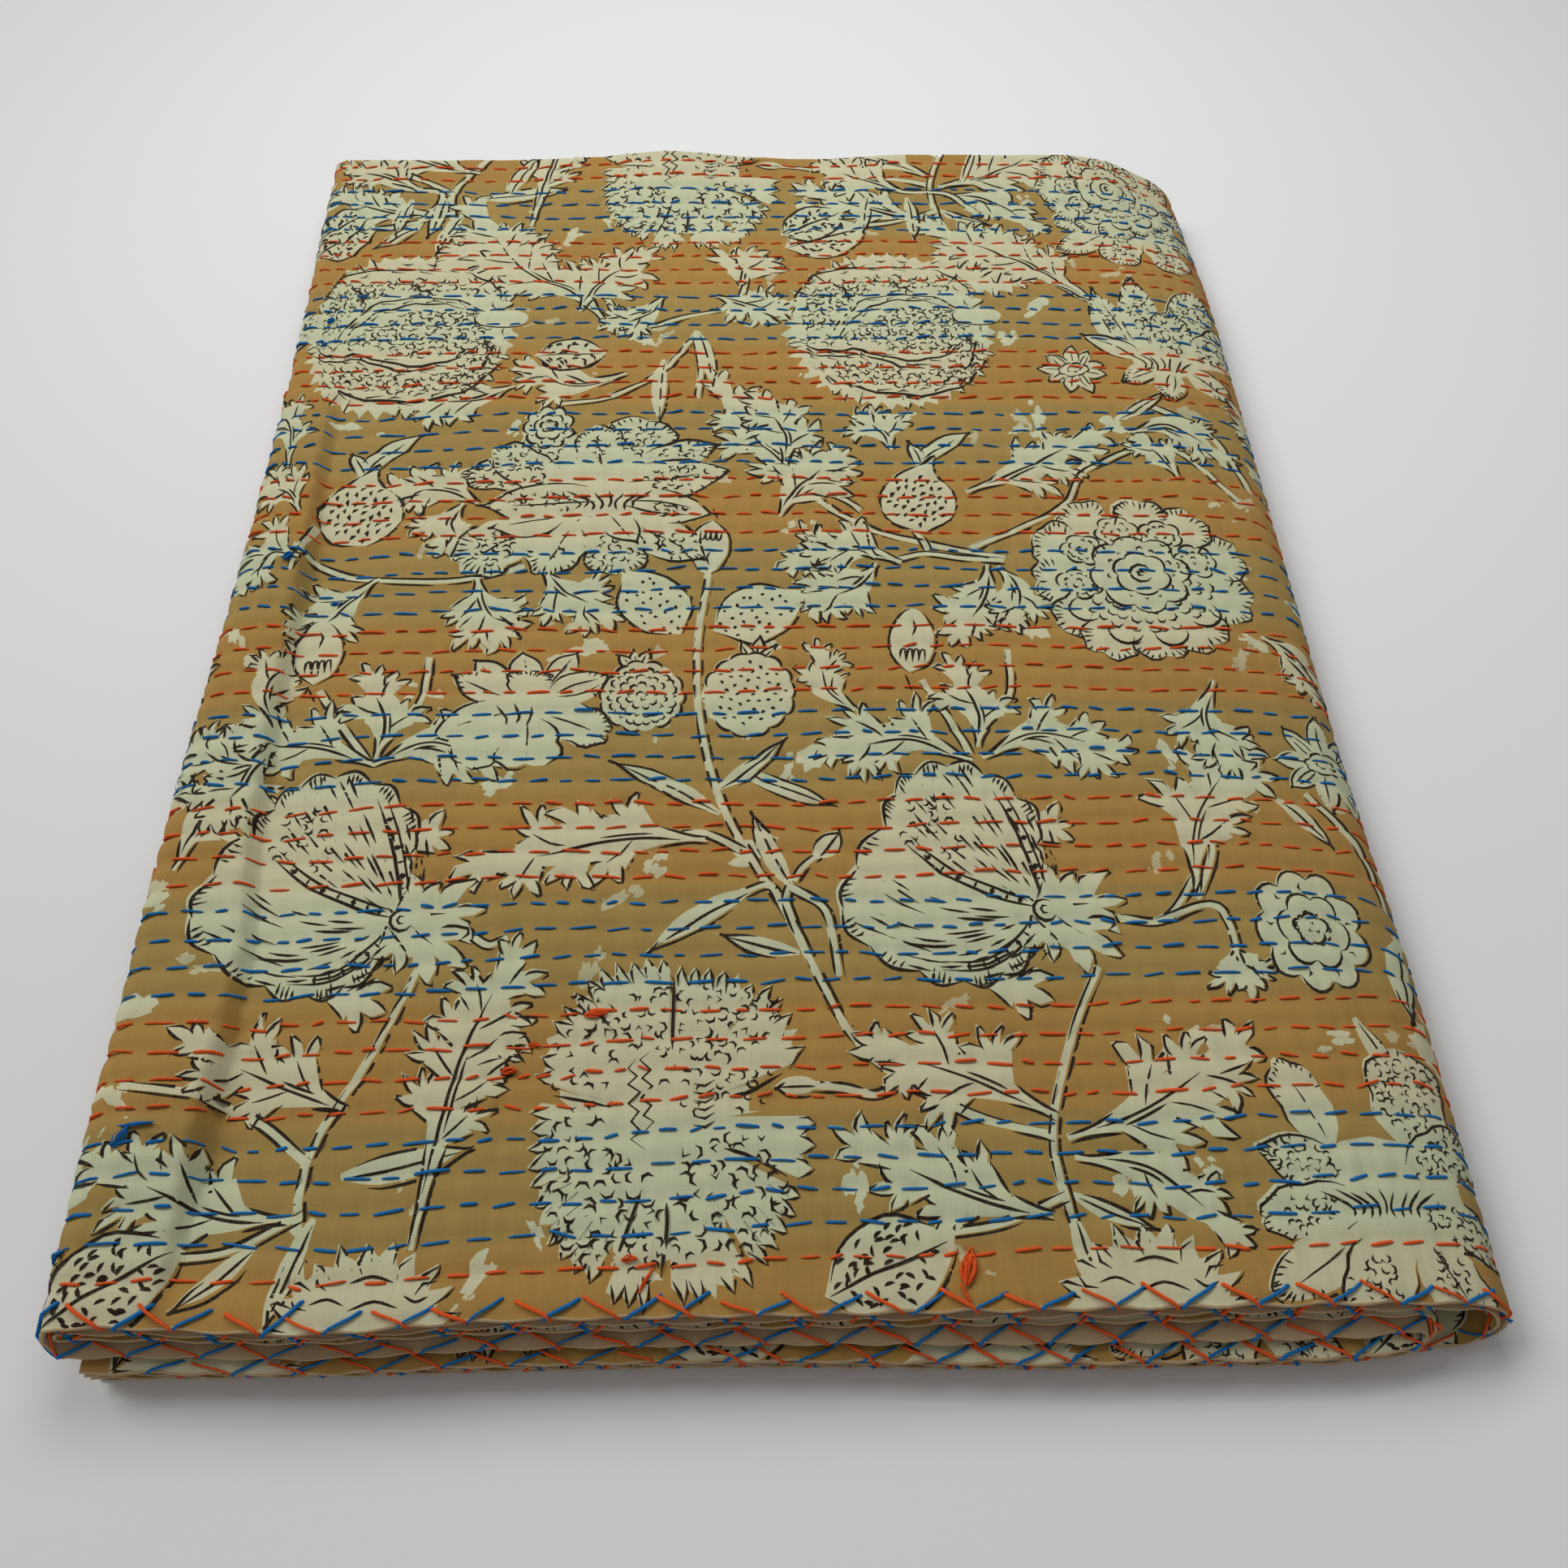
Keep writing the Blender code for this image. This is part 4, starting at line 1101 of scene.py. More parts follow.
def is_seen(points):
    """Whether a shape of these points on the flat cloth lies where the print is seen."""
    low, high = points.reshape(-1, 2).min(axis=0), points.reshape(-1, 2).max(axis=0)
    long = (high - low).max()
    return any(
        high[0] > p0 and low[0] < p1 and high[1] > v0 and low[1] < v1 and long >= shortest
        for p0, p1, v0, v1, shortest in SEEN
    )


def printed_shapes():
    """Every shape of the print that is seen, in the order in which it lies on the cloth and in
    metres of p and v. The repeat is stepped along and across the cloth."""
    off_register = np.array([0.09, -0.07])  # cm that the outlines lie beside their shapes
    motifs = []
    for block, x, y, degrees, size in prints():
        for colour, shape in block.shapes:
            placed = turned(shape * size, degrees) + [x, y]
            motifs.append((colour, (placed + off_register if colour == INK else placed) / 100))
    shapes = []
    for step_v in (2, 1, 0):
        for step_p in range(-3, 3):
            corner = np.array([step_p * REPEAT_P, step_v * REPEAT_V - TOP_HEM])
            shapes += [(colour, shape + corner) for colour, shape in motifs if is_seen(shape + corner)]
    return shapes


def covered_by(shapes, points, numbers, colours, allowed):
    """Which points lie inside a shape of one of the colours, out of those for which allowed,
    given the shape's number and the points' own numbers, says yes."""
    covered = np.zeros(len(points), bool)
    order = np.argsort(points[:, 0])
    sorted_p = points[order, 0]
    for number, (colour, outline) in enumerate(shapes):
        if colour not in colours:
            continue
        low, high = outline.min(axis=0), outline.max(axis=0)
        near = order[np.searchsorted(sorted_p, low[0]) : np.searchsorted(sorted_p, high[0])]
        near = near[(points[near, 1] > low[1]) & (points[near, 1] < high[1])]
        near = near[allowed(number, numbers[near]) & ~covered[near]]
        covered[near[inside(points[near], outline)]] = True
    return covered


ROWS = int((HALF - FIRST_ROW) / ROW_PITCH)


def grid_points():
    """The points that carry the cloth's shape, and edges along the rows of stitching, which are
    its valleys. The points are close together on the top and where the quilt turns, and far
    apart on the runs inside the pack."""
    at_crease = np.arange(CREASE_LINE - 0.0185, CREASE_LINE + 0.0155, 0.0023)
    fine_p = np.sort(np.append(np.linspace(FINE_FROM, FINE_TO, 132), at_crease))
    row = np.arange(0, ROWS + 0.9, 0.25)
    p, row = np.meshgrid(fine_p, row)
    w = FIRST_ROW + row * ROW_PITCH
    for _ in range(4):
        w = FIRST_ROW + row * ROW_PITCH + wander_of_rows(p, w)
    rows = np.stack([p, w], -1)
    number = np.arange(p.size).reshape(p.shape)[::4]
    edges = np.stack([number[:, :-1].ravel(), number[:, 1:].ravel()], 1)
    under = np.linspace(COARSE_FROM, P_START, 24)
    second = np.linspace(-0.335, FINE_FROM - 0.50, 22)
    third_turn = LEFT_FOLD - math.pi * RUN_PITCH / 2 - (INNER_FOLD - LEFT_FOLD)
    folded = third_turn - np.linspace(0, math.pi * RUN_PITCH / 2, 8)
    third = np.linspace(folded[-1] - 0.02, P_END, 22)
    coarse_p = np.concatenate([under, second, folded, third])
    inner = np.linspace(HALF + TURN + 0.03, WIDTH - 0.03, 20)
    bent = HALF + TURN * np.linspace(0.0, 1, 9)
    hem_p = np.arange(P_END, P_START, HEM_STEP)
    hem_v = np.array([0.0, 0.003, 0.0085, 0.0145])
    parts = [rows]
    for along, across in (
        (coarse_p, np.concatenate([np.linspace(0.03, HALF, 22), bent[1:], inner])),
        (fine_p, bent),
        (fine_p[::4], inner),
        (hem_p, hem_v),
        (hem_p[(hem_p < FINE_FROM) | (hem_p > FINE_TO)], np.array([FIRST_ROW])),
        (hem_p, WIDTH - np.append(hem_v, FIRST_ROW)),
    ):
        parts.append(np.stack(np.meshgrid(along, across), -1))
    return np.concatenate([part.reshape(-1, 2) for part in parts]), edges


def cut_by_the_print(shapes):
    """Triangles over the flat cloth whose edges follow the outlines of the patches, and each
    triangle's colour. A constrained Delaunay triangulation joins the grid points and the
    outlines, less those pieces of outline that lie inside another cream patch. A triangle takes
    the colour of a patch that covers its middle, cream over worn."""
    grid, along_rows = grid_points()
    corners = np.array([[P_END, 0], [P_START, 0], [P_START, WIDTH], [P_END, WIDTH]])
    patches = [(colour, outline) for colour, outline in shapes if colour != INK]
    loops = [outline for _, outline in patches] + [corners]
    owner = np.repeat(np.arange(len(loops)), [len(loop) for loop in loops])
    outline_points = np.concatenate(loops)

    def by_another(patch, own):
        """Whether a patch isn't the point's own."""
        return patch != own

    needless = covered_by(patches, outline_points, owner, (CREAM,), by_another)
    following = np.arange(len(owner)) + 1
    starts = np.flatnonzero(np.diff(owner, prepend=-1))
    following[np.append(starts[1:], len(owner)) - 1] = starts
    edges = np.stack([np.arange(len(owner)), following], 1)
    edges = edges[~(needless[edges[:, 0]] & needless[edges[:, 1]])]
    used, edges = np.unique(edges, return_inverse=True)
    flat = np.concatenate([grid, outline_points[used]])
    edges = np.concatenate([along_rows, edges.reshape(-1, 2) + len(grid)])
    points, _, faces, *_ = delaunay_2d_cdt(
        [Vector(point) for point in flat.tolist()], edges.tolist(), [], 0, 1e-6, False
    )
    points, faces = np.array([point[:] for point in points]), np.array(faces)
    middles = points[faces].mean(axis=1)
    kept = (middles > corners[0]).all(axis=1) & (middles < corners[2]).all(axis=1)
    faces, middles = faces[kept], middles[kept]
    nobody = np.full(len(faces), -1)
    colour = np.full(len(faces), MUSTARD)
    for shade in (WORN, CREAM):
        colour[covered_by(patches, middles, nobody, (shade,), by_another)] = shade
    used, faces = np.unique(faces, return_inverse=True)
    return points[used], faces.reshape(-1, 3), colour


def finer(stroke, times):
    """A stroke with each step along it cut into several."""
    place = np.linspace(0, len(stroke) - 1, (len(stroke) - 1) * times + 1)
    step = np.minimum(place.astype(int), len(stroke) - 2)
    share = (place - step)[:, None, None]
    return stroke[step] * (1 - share) + stroke[step + 1] * share


def strokes_in_sight(shapes):
    """The points and quads of all strokes on the flat cloth. A quad whose middle lies under a
    cream patch that is printed later is left out. At the folds the strokes are cut finer."""
    strokes, numbers = [], []
    for number, (colour, stroke) in enumerate(shapes):
        if colour == INK:
            p, v = stroke[..., 0], stroke[..., 1]
            at_fold = (p.min() < LEFT_FOLD + 0.004) or (v.max() > HALF - 0.002) or (p.max() > SPINE)
            strokes.append(finer(stroke, 3) if at_fold else stroke)
            numbers.append(np.full(len(strokes[-1]) - 1, number))
    first = np.cumsum([0] + [2 * len(stroke) for stroke in strokes[:-1]])
    lines = np.concatenate([a + 2 * np.arange(len(stroke) - 1) for a, stroke in zip(first, strokes)])
    quads = lines[:, None] + [0, 1, 3, 2]
    points, numbers = np.concatenate(strokes).reshape(-1, 2), np.concatenate(numbers)
    middles = points[quads].mean(axis=1)
    hidden = covered_by(shapes, middles, numbers, (CREAM,), lambda cream, own: own < cream)
    margin = 0.0006  # that the ink keeps from the hems
    on_cloth = (middles > [P_END, margin]).all(axis=1)
    on_cloth &= (middles < [P_START, WIDTH - margin]).all(axis=1)
    used, quads = np.unique(quads[on_cloth & ~hidden], return_inverse=True)
    return points[used], quads.reshape(-1, 4)


def normals_of(surface, p, v):
    """Normals of a surface that is a function of p and v, from its slopes."""
    step = 0.0004
    along_p = surface(p + step, v) - surface(p - step, v)
    along_v = surface(p, v + step) - surface(p, v - step)
    normal = np.cross(along_p, along_v)
    return normal / (np.linalg.norm(normal, axis=1)[:, None] + 1e-12)


def new_piece(name, points, faces, materials, uv_maps, shades=None, normals=None):
    """Makes a mesh object of loose arrays: points, faces of one size, and for each UV map its
    coordinates point by point."""
    mesh = bpy.data.meshes.new(name)
    mesh.vertices.add(len(points))
    mesh.vertices.foreach_set("co", points.ravel())
    corners = faces.shape[1]
    mesh.loops.add(faces.size)
    mesh.loops.foreach_set("vertex_index", faces.ravel())
    mesh.polygons.add(len(faces))
    mesh.polygons.foreach_set("loop_start", np.arange(len(faces)) * corners)
    mesh.polygons.foreach_set("use_smooth", np.ones(len(faces), bool))
    if shades is not None:
        mesh.polygons.foreach_set("material_index", shades)
    for material in materials:
        mesh.materials.append(material)
    for map_name, coordinates in uv_maps.items():
        layer = mesh.uv_layers.new(name=map_name)
        layer.uv.foreach_set("vector", coordinates[faces.ravel()].astype(np.float32).ravel())
    mesh.update(calc_edges=True)
    if normals is not None:
        mesh.normals_split_custom_set_from_vertices(normals)
    piece = bpy.data.objects.new(name, mesh)
    bpy.context.scene.collection.objects.link(piece)
    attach(piece, "root")
    return piece


def node_group(name, inputs, outputs):
    """An empty shader node group with number inputs, and outputs by name and type."""
    group = bpy.data.node_groups.new(name, "ShaderNodeTree")
    for socket, value in inputs.items():
        made = group.interface.new_socket(socket, in_out="INPUT", socket_type="NodeSocketFloat")
        made.default_value = value
    for socket, kind in outputs.items():
        group.interface.new_socket(socket, in_out="OUTPUT", socket_type=kind)
    return group, group.nodes.new("NodeGroupInput"), group.nodes.new("NodeGroupOutput")


def add_node(tree, kind, values=None, **settings):
    """A node with its settings, and values or links for its inputs by name or number."""
    node = tree.nodes.new(kind)
    for key, value in settings.items():
        setattr(node, key, value)
    for key, value in (values or {}).items():
        if isinstance(value, bpy.types.NodeSocket):
            tree.links.new(value, node.inputs[key])
        else:
            node.inputs[key].default_value = value
    return node


def math_node(tree, operation, a, b=0.0, c=0.0):
    """One sum on values or links, and its result."""
    node = add_node(tree, "ShaderNodeMath", {0: a, 1: b, 2: c}, operation=operation)
    return node.outputs[0]


def noise(tree, place, scale, detail):
    """Noise at a place, as a link."""
    values = {"Vector": place, "Scale": scale, "Detail": detail}
    return add_node(tree, "ShaderNodeTexNoise", values).outputs[0]


def mixed(tree, factor, a, b):
    """Two colours mixed, all b where the factor is 1."""
    values = {"Factor": factor, "A": a, "B": b}
    return add_node(tree, "ShaderNodeMix", values, data_type="RGBA").outputs["Result"]


# Plain weave: threads over and under each other, some thicker than others. Height is for bump,
# Shade darkens the gaps, Blotch is for uneven dye, Tucks are the small puckers that run across
# the rows of stitching, and Orange is 1 among the orange rows and 0 among the blue ones. It
# reads the map of flat metres.
weave, weave_in, weave_out = node_group(
    "plain_weave",
    {"Threads per metre": 1900.0, "Slub": 0.5},
    {name: "NodeSocketFloat" for name in ("Height", "Shade", "Blotch", "Tucks", "Orange")},
)
flat_map = add_node(weave, "ShaderNodeUVMap", uv_map="flat").outputs[0]
flat_axes = add_node(weave, "ShaderNodeSeparateXYZ", {0: flat_map})
bent = math_node(weave, "MULTIPLY", noise(weave, flat_map, 40.0, 1.0), 0.004)
waves = []
for axis in (0, 1):
    place = math_node(weave, "ADD", flat_axes.outputs[axis], bent)
    angle = math_node(weave, "MULTIPLY", place, weave_in.outputs["Threads per metre"])
    waves.append(math_node(weave, "SINE", math_node(weave, "MULTIPLY", angle, math.pi)))
crossing = math_node(weave, "MULTIPLY", waves[0], waves[1])
slubs = []
for stretch in ((40.0, 1500.0, 1.0), (1500.0, 40.0, 1.0)):
    squeezed = add_node(weave, "ShaderNodeMapping", {0: flat_map, "Scale": stretch})
    slubs.append(noise(weave, squeezed.outputs[0], 1.0, 2.0))
slub = math_node(weave, "ADD", slubs[0], slubs[1])
height = math_node(weave, "MULTIPLY_ADD", slub, weave_in.outputs["Slub"], crossing)
weave.links.new(height, weave_out.inputs["Height"])
shade = math_node(weave, "MULTIPLY_ADD", math_node(weave, "SUBTRACT", slub, 1.0), 0.20, 1.0)
shade = math_node(weave, "MULTIPLY_ADD", crossing, 0.035, shade)
weave.links.new(shade, weave_out.inputs["Shade"])
weave.links.new(noise(weave, flat_map, 11.0, 4.0), weave_out.inputs["Blotch"])
stretched = add_node(weave, "ShaderNodeMapping", {0: flat_map, "Scale": (95.0, 24.0, 1.0)})
weave.links.new(noise(weave, stretched.outputs[0], 1.0, 1.0), weave_out.inputs["Tucks"])
far_side = math_node(weave, "SUBTRACT", WIDTH, flat_axes.outputs[1])
hem_distance = math_node(weave, "MINIMUM", flat_axes.outputs[1], far_side)
eight_rows = 8 * ROW_PITCH / (2 * math.pi)
first_band = -(FIRST_ROW + ROW_PITCH / 2) / eight_rows
phase = math_node(weave, "MULTIPLY_ADD", hem_distance, 1 / eight_rows, first_band)
orange_rows = math_node(weave, "MULTIPLY_ADD", math_node(weave, "SINE", phase), -1.5, 0.5)
orange_rows = math_node(weave, "MAXIMUM", orange_rows, 0.0)
weave.links.new(math_node(weave, "MINIMUM", orange_rows, 1.0), weave_out.inputs["Orange"])

ORANGE_RUN, BLUE_RUN = (0.98, 0.135, 0.025), (0.02, 0.40, 0.30)


def cotton(name, colour, mottle, bare=None, bare_share=0.0, run=0.04):
    """Plain-woven cotton of one colour. mottle is how much the dye varies in slow blotches, and
    where the weave stands up, up to bare_share of the dye is missing and the bare colour shows.
    run is how much the thread's own dye has run into the cloth round its rows."""
    material = bpy.data.materials.new(name)
    material.use_nodes = True
    tree = material.node_tree
    shader = tree.nodes["Principled BSDF"]
    cloth = add_node(tree, "ShaderNodeGroup", node_tree=weave)
    slow = math_node(tree, "MULTIPLY_ADD", cloth.outputs["Blotch"], mottle, 1.0 - mottle / 2)
    value = math_node(tree, "MULTIPLY", slow, cloth.outputs["Shade"])
    toned = add_node(tree, "ShaderNodeHueSaturation", {"Value": value, "Color": (*colour, 1.0)})
    dyed = toned.outputs[0]
    if bare:
        raised = {"Value": cloth.outputs["Shade"], "From Min": 0.99, "From Max": 1.10}
        missing = add_node(tree, "ShaderNodeMapRange", raised | {"To Max": bare_share})
        dyed = mixed(tree, missing.outputs[0], dyed, (*bare, 1.0))
    if run:
        thread_dye = mixed(tree, cloth.outputs["Orange"], (*BLUE_RUN, 1.0), (*ORANGE_RUN, 1.0))
        dyed = mixed(tree, run, dyed, thread_dye)
    tree.links.new(dyed, shader.inputs["Base Color"])
    tucked = add_node(tree, "ShaderNodeBump", {"Distance": 0.0015, "Height": cloth.outputs["Tucks"]})
    woven = {"Strength": 0.35, "Distance": 0.00012, "Height": cloth.outputs["Height"]}
    bump = add_node(tree, "ShaderNodeBump", woven | {"Normal": tucked.outputs[0]})
    tree.links.new(bump.outputs[0], shader.inputs["Normal"])
    shader.inputs["Roughness"].default_value = 0.92
    shader.inputs["Specular IOR Level"].default_value = 0.12
    shader.inputs["Sheen Weight"].default_value = 0.04
    shader.inputs["Sheen Roughness"].default_value = 0.5
    return material


MUSTARD_DYE = (0.402, 0.251, 0.068)
BARE_COTTON = (0.62, 0.622, 0.40)
WORN_DYE = tuple(0.35 * a + 0.65 * b for a, b in zip(MUSTARD_DYE, BARE_COTTON))
FACE_HEIGHT = THICKNESS / 2


def printed_face(p, v):
    """Where the printed cloth lies: half the quilt's thickness up, and puckered."""
    return lay(p, v, FACE_HEIGHT + puckers(p, v))


def share_out(value, low, seen_low, seen_high, high, share):
    """Maps low..high onto 0..1 so that the part in sight gets that share of it."""
    rest = (1 - share) / (high - low - (seen_high - seen_low))
    before = (np.minimum(value, seen_low) - low) * rest
    within = (np.clip(value, seen_low, seen_high) - seen_low) * share / (seen_high - seen_low)
    return before + within + np.maximum(value - seen_high, 0) * rest


def cloth_maps(p, v):
    """The cloth's two maps: flat metres, for the weave, and one that gives the top more room."""
    wide = share_out(p, P_END - 0.01, -0.325, COARSE_FROM, P_START + 0.01, 0.70)
    deep = share_out(v, -0.01, -0.005, HALF + TURN + 0.01, WIDTH + 0.01, 0.75)
    return {"flat": np.stack([p, v], 1), "OFBake": np.stack([wide, deep], 1)}


shapes = printed_shapes()
points, faces, colour = cut_by_the_print(shapes)
p, v = points[:, 0], points[:, 1]
printed_cloth = new_piece(
    "printed_cloth",
    printed_face(p, v),
    faces,
    [
        cotton("mustard_cotton", MUSTARD_DYE, 0.22),
        cotton("bare_cotton", BARE_COTTON, 0.10),
        cotton("worn_print", WORN_DYE, 0.5),
    ],
    cloth_maps(p, v),
    colour.astype(np.int32),
    normals_of(printed_face, p, v),
)
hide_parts("quilt")

# ---------------------------------------------------------------------------------------------
# The outlines. Thick brown-black dye from a second block, which misses the shapes of the first
# by a hair. It lies a tenth of a millimetre over the cloth and follows all its puckers.
# ---------------------------------------------------------------------------------------------

PRINT_INK = (0.020, 0.011, 0.007)
INK_LIFT = 0.0001


def inked_face(p, v):
    """Where the ink lies: just over the printed cloth."""
    return lay(p, v, FACE_HEIGHT + puckers(p, v) + INK_LIFT)


points, faces = strokes_in_sight(shapes)
p, v = points[:, 0], points[:, 1]
printed_outlines = new_piece(
    "printed_outlines",
    inked_face(p, v),
    faces,
    [cotton("printed_ink", PRINT_INK, 0.3, BARE_COTTON, 0.12, run=0)],
    cloth_maps(p, v),
    normals=normals_of(inked_face, p, v),
)
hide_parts("quilt")

# ---------------------------------------------------------------------------------------------
# The plain cloth. Unbleached cotton, the quilt's reverse, coloured darker and warmer than the
# bare cotton as painted shade and painted warm bounce light. It lines the folds, and at the hems
# and the short ends it is turned over the edge, where it shows as a narrow pale rim.
# ---------------------------------------------------------------------------------------------

# Painted shade: the colour is darker and warmer than unbleached cotton. It stands in for the shade and the
# warm bounce light on the layers at the front of the pack.
ECRU_WITH_PAINTED_SHADE = (0.50, 0.385, 0.22)
TURNED_OVER = 0.0004  # how far it comes onto the printed side
EASE = 0.0001  # that it lies over the printed side there, and short of the full thickness here
RIM = THICKNESS / 2 - THIN_EDGE + EASE


def edge_lines(inner, start, end):
    """Lines of a grid from one edge to the other: the place of each, how far it has gone round
    the edge, from 0 on the plain side to a half turn on the printed side, and which edge."""
    turns = np.linspace(0, math.pi, 7)
    onto = np.array([0.4, 1.0]) * TURNED_OVER * np.sign(end - start)
    at_start, at_end = np.full(len(turns), start), np.full(len(turns), end)
    place = np.concatenate([(start + onto)[::-1], at_start, inner, at_end, end - onto])
    turn = np.concatenate([[math.pi] * 2, turns[::-1], np.zeros(len(inner)), turns, [math.pi] * 2])
    edge = np.ones(len(turns) + len(onto))
    side = np.concatenate([-edge, np.zeros(len(inner)), edge])
    return place, turn, side


def turned_reverse(p, v, turn, side_p, side_v):
    """The plain side of the quilt, and past its edges a half circle round them onto the printed
    side. turn is how far round, and side says which edges the point goes round."""
    plain = -(FACE_HEIGHT - EASE) - puckers(p, v)
    h = np.where(turn > 0, -RIM * np.cos(turn), plain)
    out = RIM * np.sin(turn)
    return lay(p + out * side_p, v + out * side_v, h)


fine = np.arange(HEM_STEP, P_START - P_END - 0.003, HEM_STEP)
lines_p, turn_p, side_p = edge_lines(P_END + fine, P_END, P_START)
near_hem = [0.0015, 0.004, 0.0075, 0.011, 0.0145, FIRST_ROW]
half = np.append(near_hem, np.arange(0.0272, HALF - 0.004, 0.0204))
middle = HALF + TURN * np.linspace(0, 1, 9)
across = np.concatenate([half, middle, WIDTH - half[::-1]])
lines_v, turn_v, side_v = edge_lines(across, 0.0, WIDTH)
i, j = np.meshgrid(np.arange(len(lines_p)), np.arange(len(lines_v)), indexing="ij")
i, j = i.ravel(), j.ravel()
furthest = np.maximum(turn_p[i], turn_v[j])
points = turned_reverse(
    lines_p[i], lines_v[j], furthest, side_p[i] * (turn_p[i] > 0), side_v[j] * (turn_v[j] > 0)
)
count = len(lines_v)
first = (np.arange(len(lines_p) - 1)[:, None] * count + np.arange(count - 1)).ravel()
faces = np.stack([first, first + count, first + count + 1, first + 1], 1)
plain_cloth = new_piece(
    "plain_cloth",
    points,
    faces[:, ::-1],
    [cotton("plain_cotton_painted_shade", ECRU_WITH_PAINTED_SHADE, 0.16)],
    {"flat": np.stack([lines_p[i], lines_v[j]], 1)},
)
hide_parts("quilt")

# ---------------------------------------------------------------------------------------------
# The running stitch. Soft two-ply cotton floss, run in by hand in bands of four rows, orange and
# blue in turn. Each stitch is about 9 mm long, and the thread dives through all layers to reach
# the next.
# ---------------------------------------------------------------------------------------------

ORANGE_THREAD, BLUE_THREAD = (0.98, 0.135, 0.025), (0.016, 0.20, 0.56)
THREAD_RADIUS = 0.00059
STITCH, STITCH_GAP = 0.0089, 0.0055  # mean lengths of a stitch and of the gap to the next
TOP_ROWS = (-0.312, 0.340)  # p where the rows of the top start and end
OTHER_ROWS = ((P_END + 0.01, -0.320), (COARSE_FROM, P_START - 0.01))  # and those to either side


def floss(name, colour):
    """Soft twisted floss: fine plies wind round the thread, the grooves between them darker as painted
    shade, and fuzz blurs its colour. The map has millimetres along the thread and turns round it."""
    material = bpy.data.materials.new(name)
    material.use_nodes = True
    tree = material.node_tree
    shader = tree.nodes["Principled BSDF"]
    round_map = add_node(tree, "ShaderNodeUVMap", uv_map="flat").outputs[0]
    axes = add_node(tree, "ShaderNodeSeparateXYZ", {0: round_map})
    winding = math_node(tree, "MULTIPLY_ADD", axes.outputs[0], 0.55, axes.outputs[1])
    ply = math_node(tree, "SINE", math_node(tree, "MULTIPLY", winding, 4 * math.pi))
    fuzz = add_node(tree, "ShaderNodeTexNoise", {"Vector": round_map, "Scale": 3.0, "Detail": 3.0})
    # Painted shade: the ply wave makes the colour darker in the grooves between the plies.
    value = math_node(tree, "MULTIPLY_ADD", ply, 0.12, 0.65)
    value = math_node(tree, "MULTIPLY_ADD", fuzz.outputs[0], 0.7, value)
    toned = add_node(tree, "ShaderNodeHueSaturation", {"Value": value, "Color": (*colour, 1.0)})
    tree.links.new(toned.outputs[0], shader.inputs["Base Color"])
    bump = add_node(tree, "ShaderNodeBump", {"Strength": 0.6, "Distance": 0.0003, "Height": ply})
    tree.links.new(bump.outputs[0], shader.inputs["Normal"])
    shader.inputs["Roughness"].default_value = 0.85
    shader.inputs["Specular IOR Level"].default_value = 0.15
    return material


orange_floss = floss("orange_floss", ORANGE_THREAD)
blue_floss = floss("blue_floss", BLUE_THREAD)


def threads(name, paths, radii, material, reference, sides=5):
    """Many short threads as one mesh. Each path, a row of places (p, v, h) on the flat quilt, is
    the middle of a tube whose radius is given point by point, and the tube is then laid along
    the folds. The ring round a point is square to the path, which never runs along reference."""
    count, steps = paths.shape[:2]
    along = np.gradient(paths, axis=1)
    along /= np.linalg.norm(along, axis=2, keepdims=True) + 1e-12
    across = np.cross(along, reference)
    across /= np.linalg.norm(across, axis=2, keepdims=True) + 1e-12
    upward = np.cross(across, along)
    angle = 2 * math.pi * np.arange(sides) / sides
    ring = across[:, :, None] * np.cos(angle)[:, None]
    ring = ring + upward[:, :, None] * np.sin(angle)[:, None]
    tube = (paths[:, :, None] + ring * radii[:, :, None, None]).reshape(-1, 3)
    points = lay(tube[:, 0], tube[:, 1], tube[:, 2])
    length = np.linalg.norm(np.diff(paths, axis=1), axis=2).cumsum(axis=1) * 1000
    length = np.concatenate([np.zeros((count, 1)), length], axis=1)
    turns = angle[None, None] / (2 * math.pi)
    coordinates = np.stack(np.broadcast_arrays(length[:, :, None], turns), -1).reshape(-1, 2)
    step, side = np.meshgrid(np.arange(steps - 1), np.arange(sides), indexing="ij")
    first, side = step.ravel() * sides, side.ravel()
    after = (side + 1) % sides
    quad = np.stack([first + side, first + sides + side, first + sides + after, first + after], 1)
    faces = (np.arange(count)[:, None, None] * steps * sides + quad).reshape(-1, 4)
    piece = new_piece(name, points, faces, [material], {"flat": coordinates})
    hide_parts("quilt")
    return piece


def row_of_stitches(rng, number, low, high, inner=False):
    """One row, as paths of six points: the thread comes up, lies along the valley and dives."""
    most = 400  # more stitches than any row has
    stitch = np.clip(rng.normal(rng.normal(STITCH, 0.0007), 0.0021, most), 0.0048, 0.0150)
    gap = np.clip(rng.normal(STITCH_GAP, 0.0010, most), 0.0025, 0.0088)
    start = low - rng.uniform(0, 0.012) + np.concatenate([[0], np.cumsum(stitch + gap)[:-1]])
    used = start + stitch < high
    start, stitch = start[used], stitch[used]
    share = np.array([0.0, 0.06, 0.3, 0.7, 0.94, 1.0])
    lift = np.array([-0.9, 0.35, 0.85, 0.85, 0.35, -0.9]) * THREAD_RADIUS
    p = start[:, None] + stitch[:, None] * share
    w = FIRST_ROW + number * ROW_PITCH
    slant = rng.normal(0, 0.0007, (len(start), 2))
    off = slant[:, :1] * (1 - share) + slant[:, 1:] * share
    w = w + wander_of_rows(p, w) + off
    v = WIDTH - w if inner else w
    return np.stack([p, v, FACE_HEIGHT + puckers(p, v) + lift], -1)


def colour_of_row(number):
    """The first row is orange, then four blue and four orange, in turn."""
    return "orange" if number == 0 or (number - 1) // 4 % 2 else "blue"


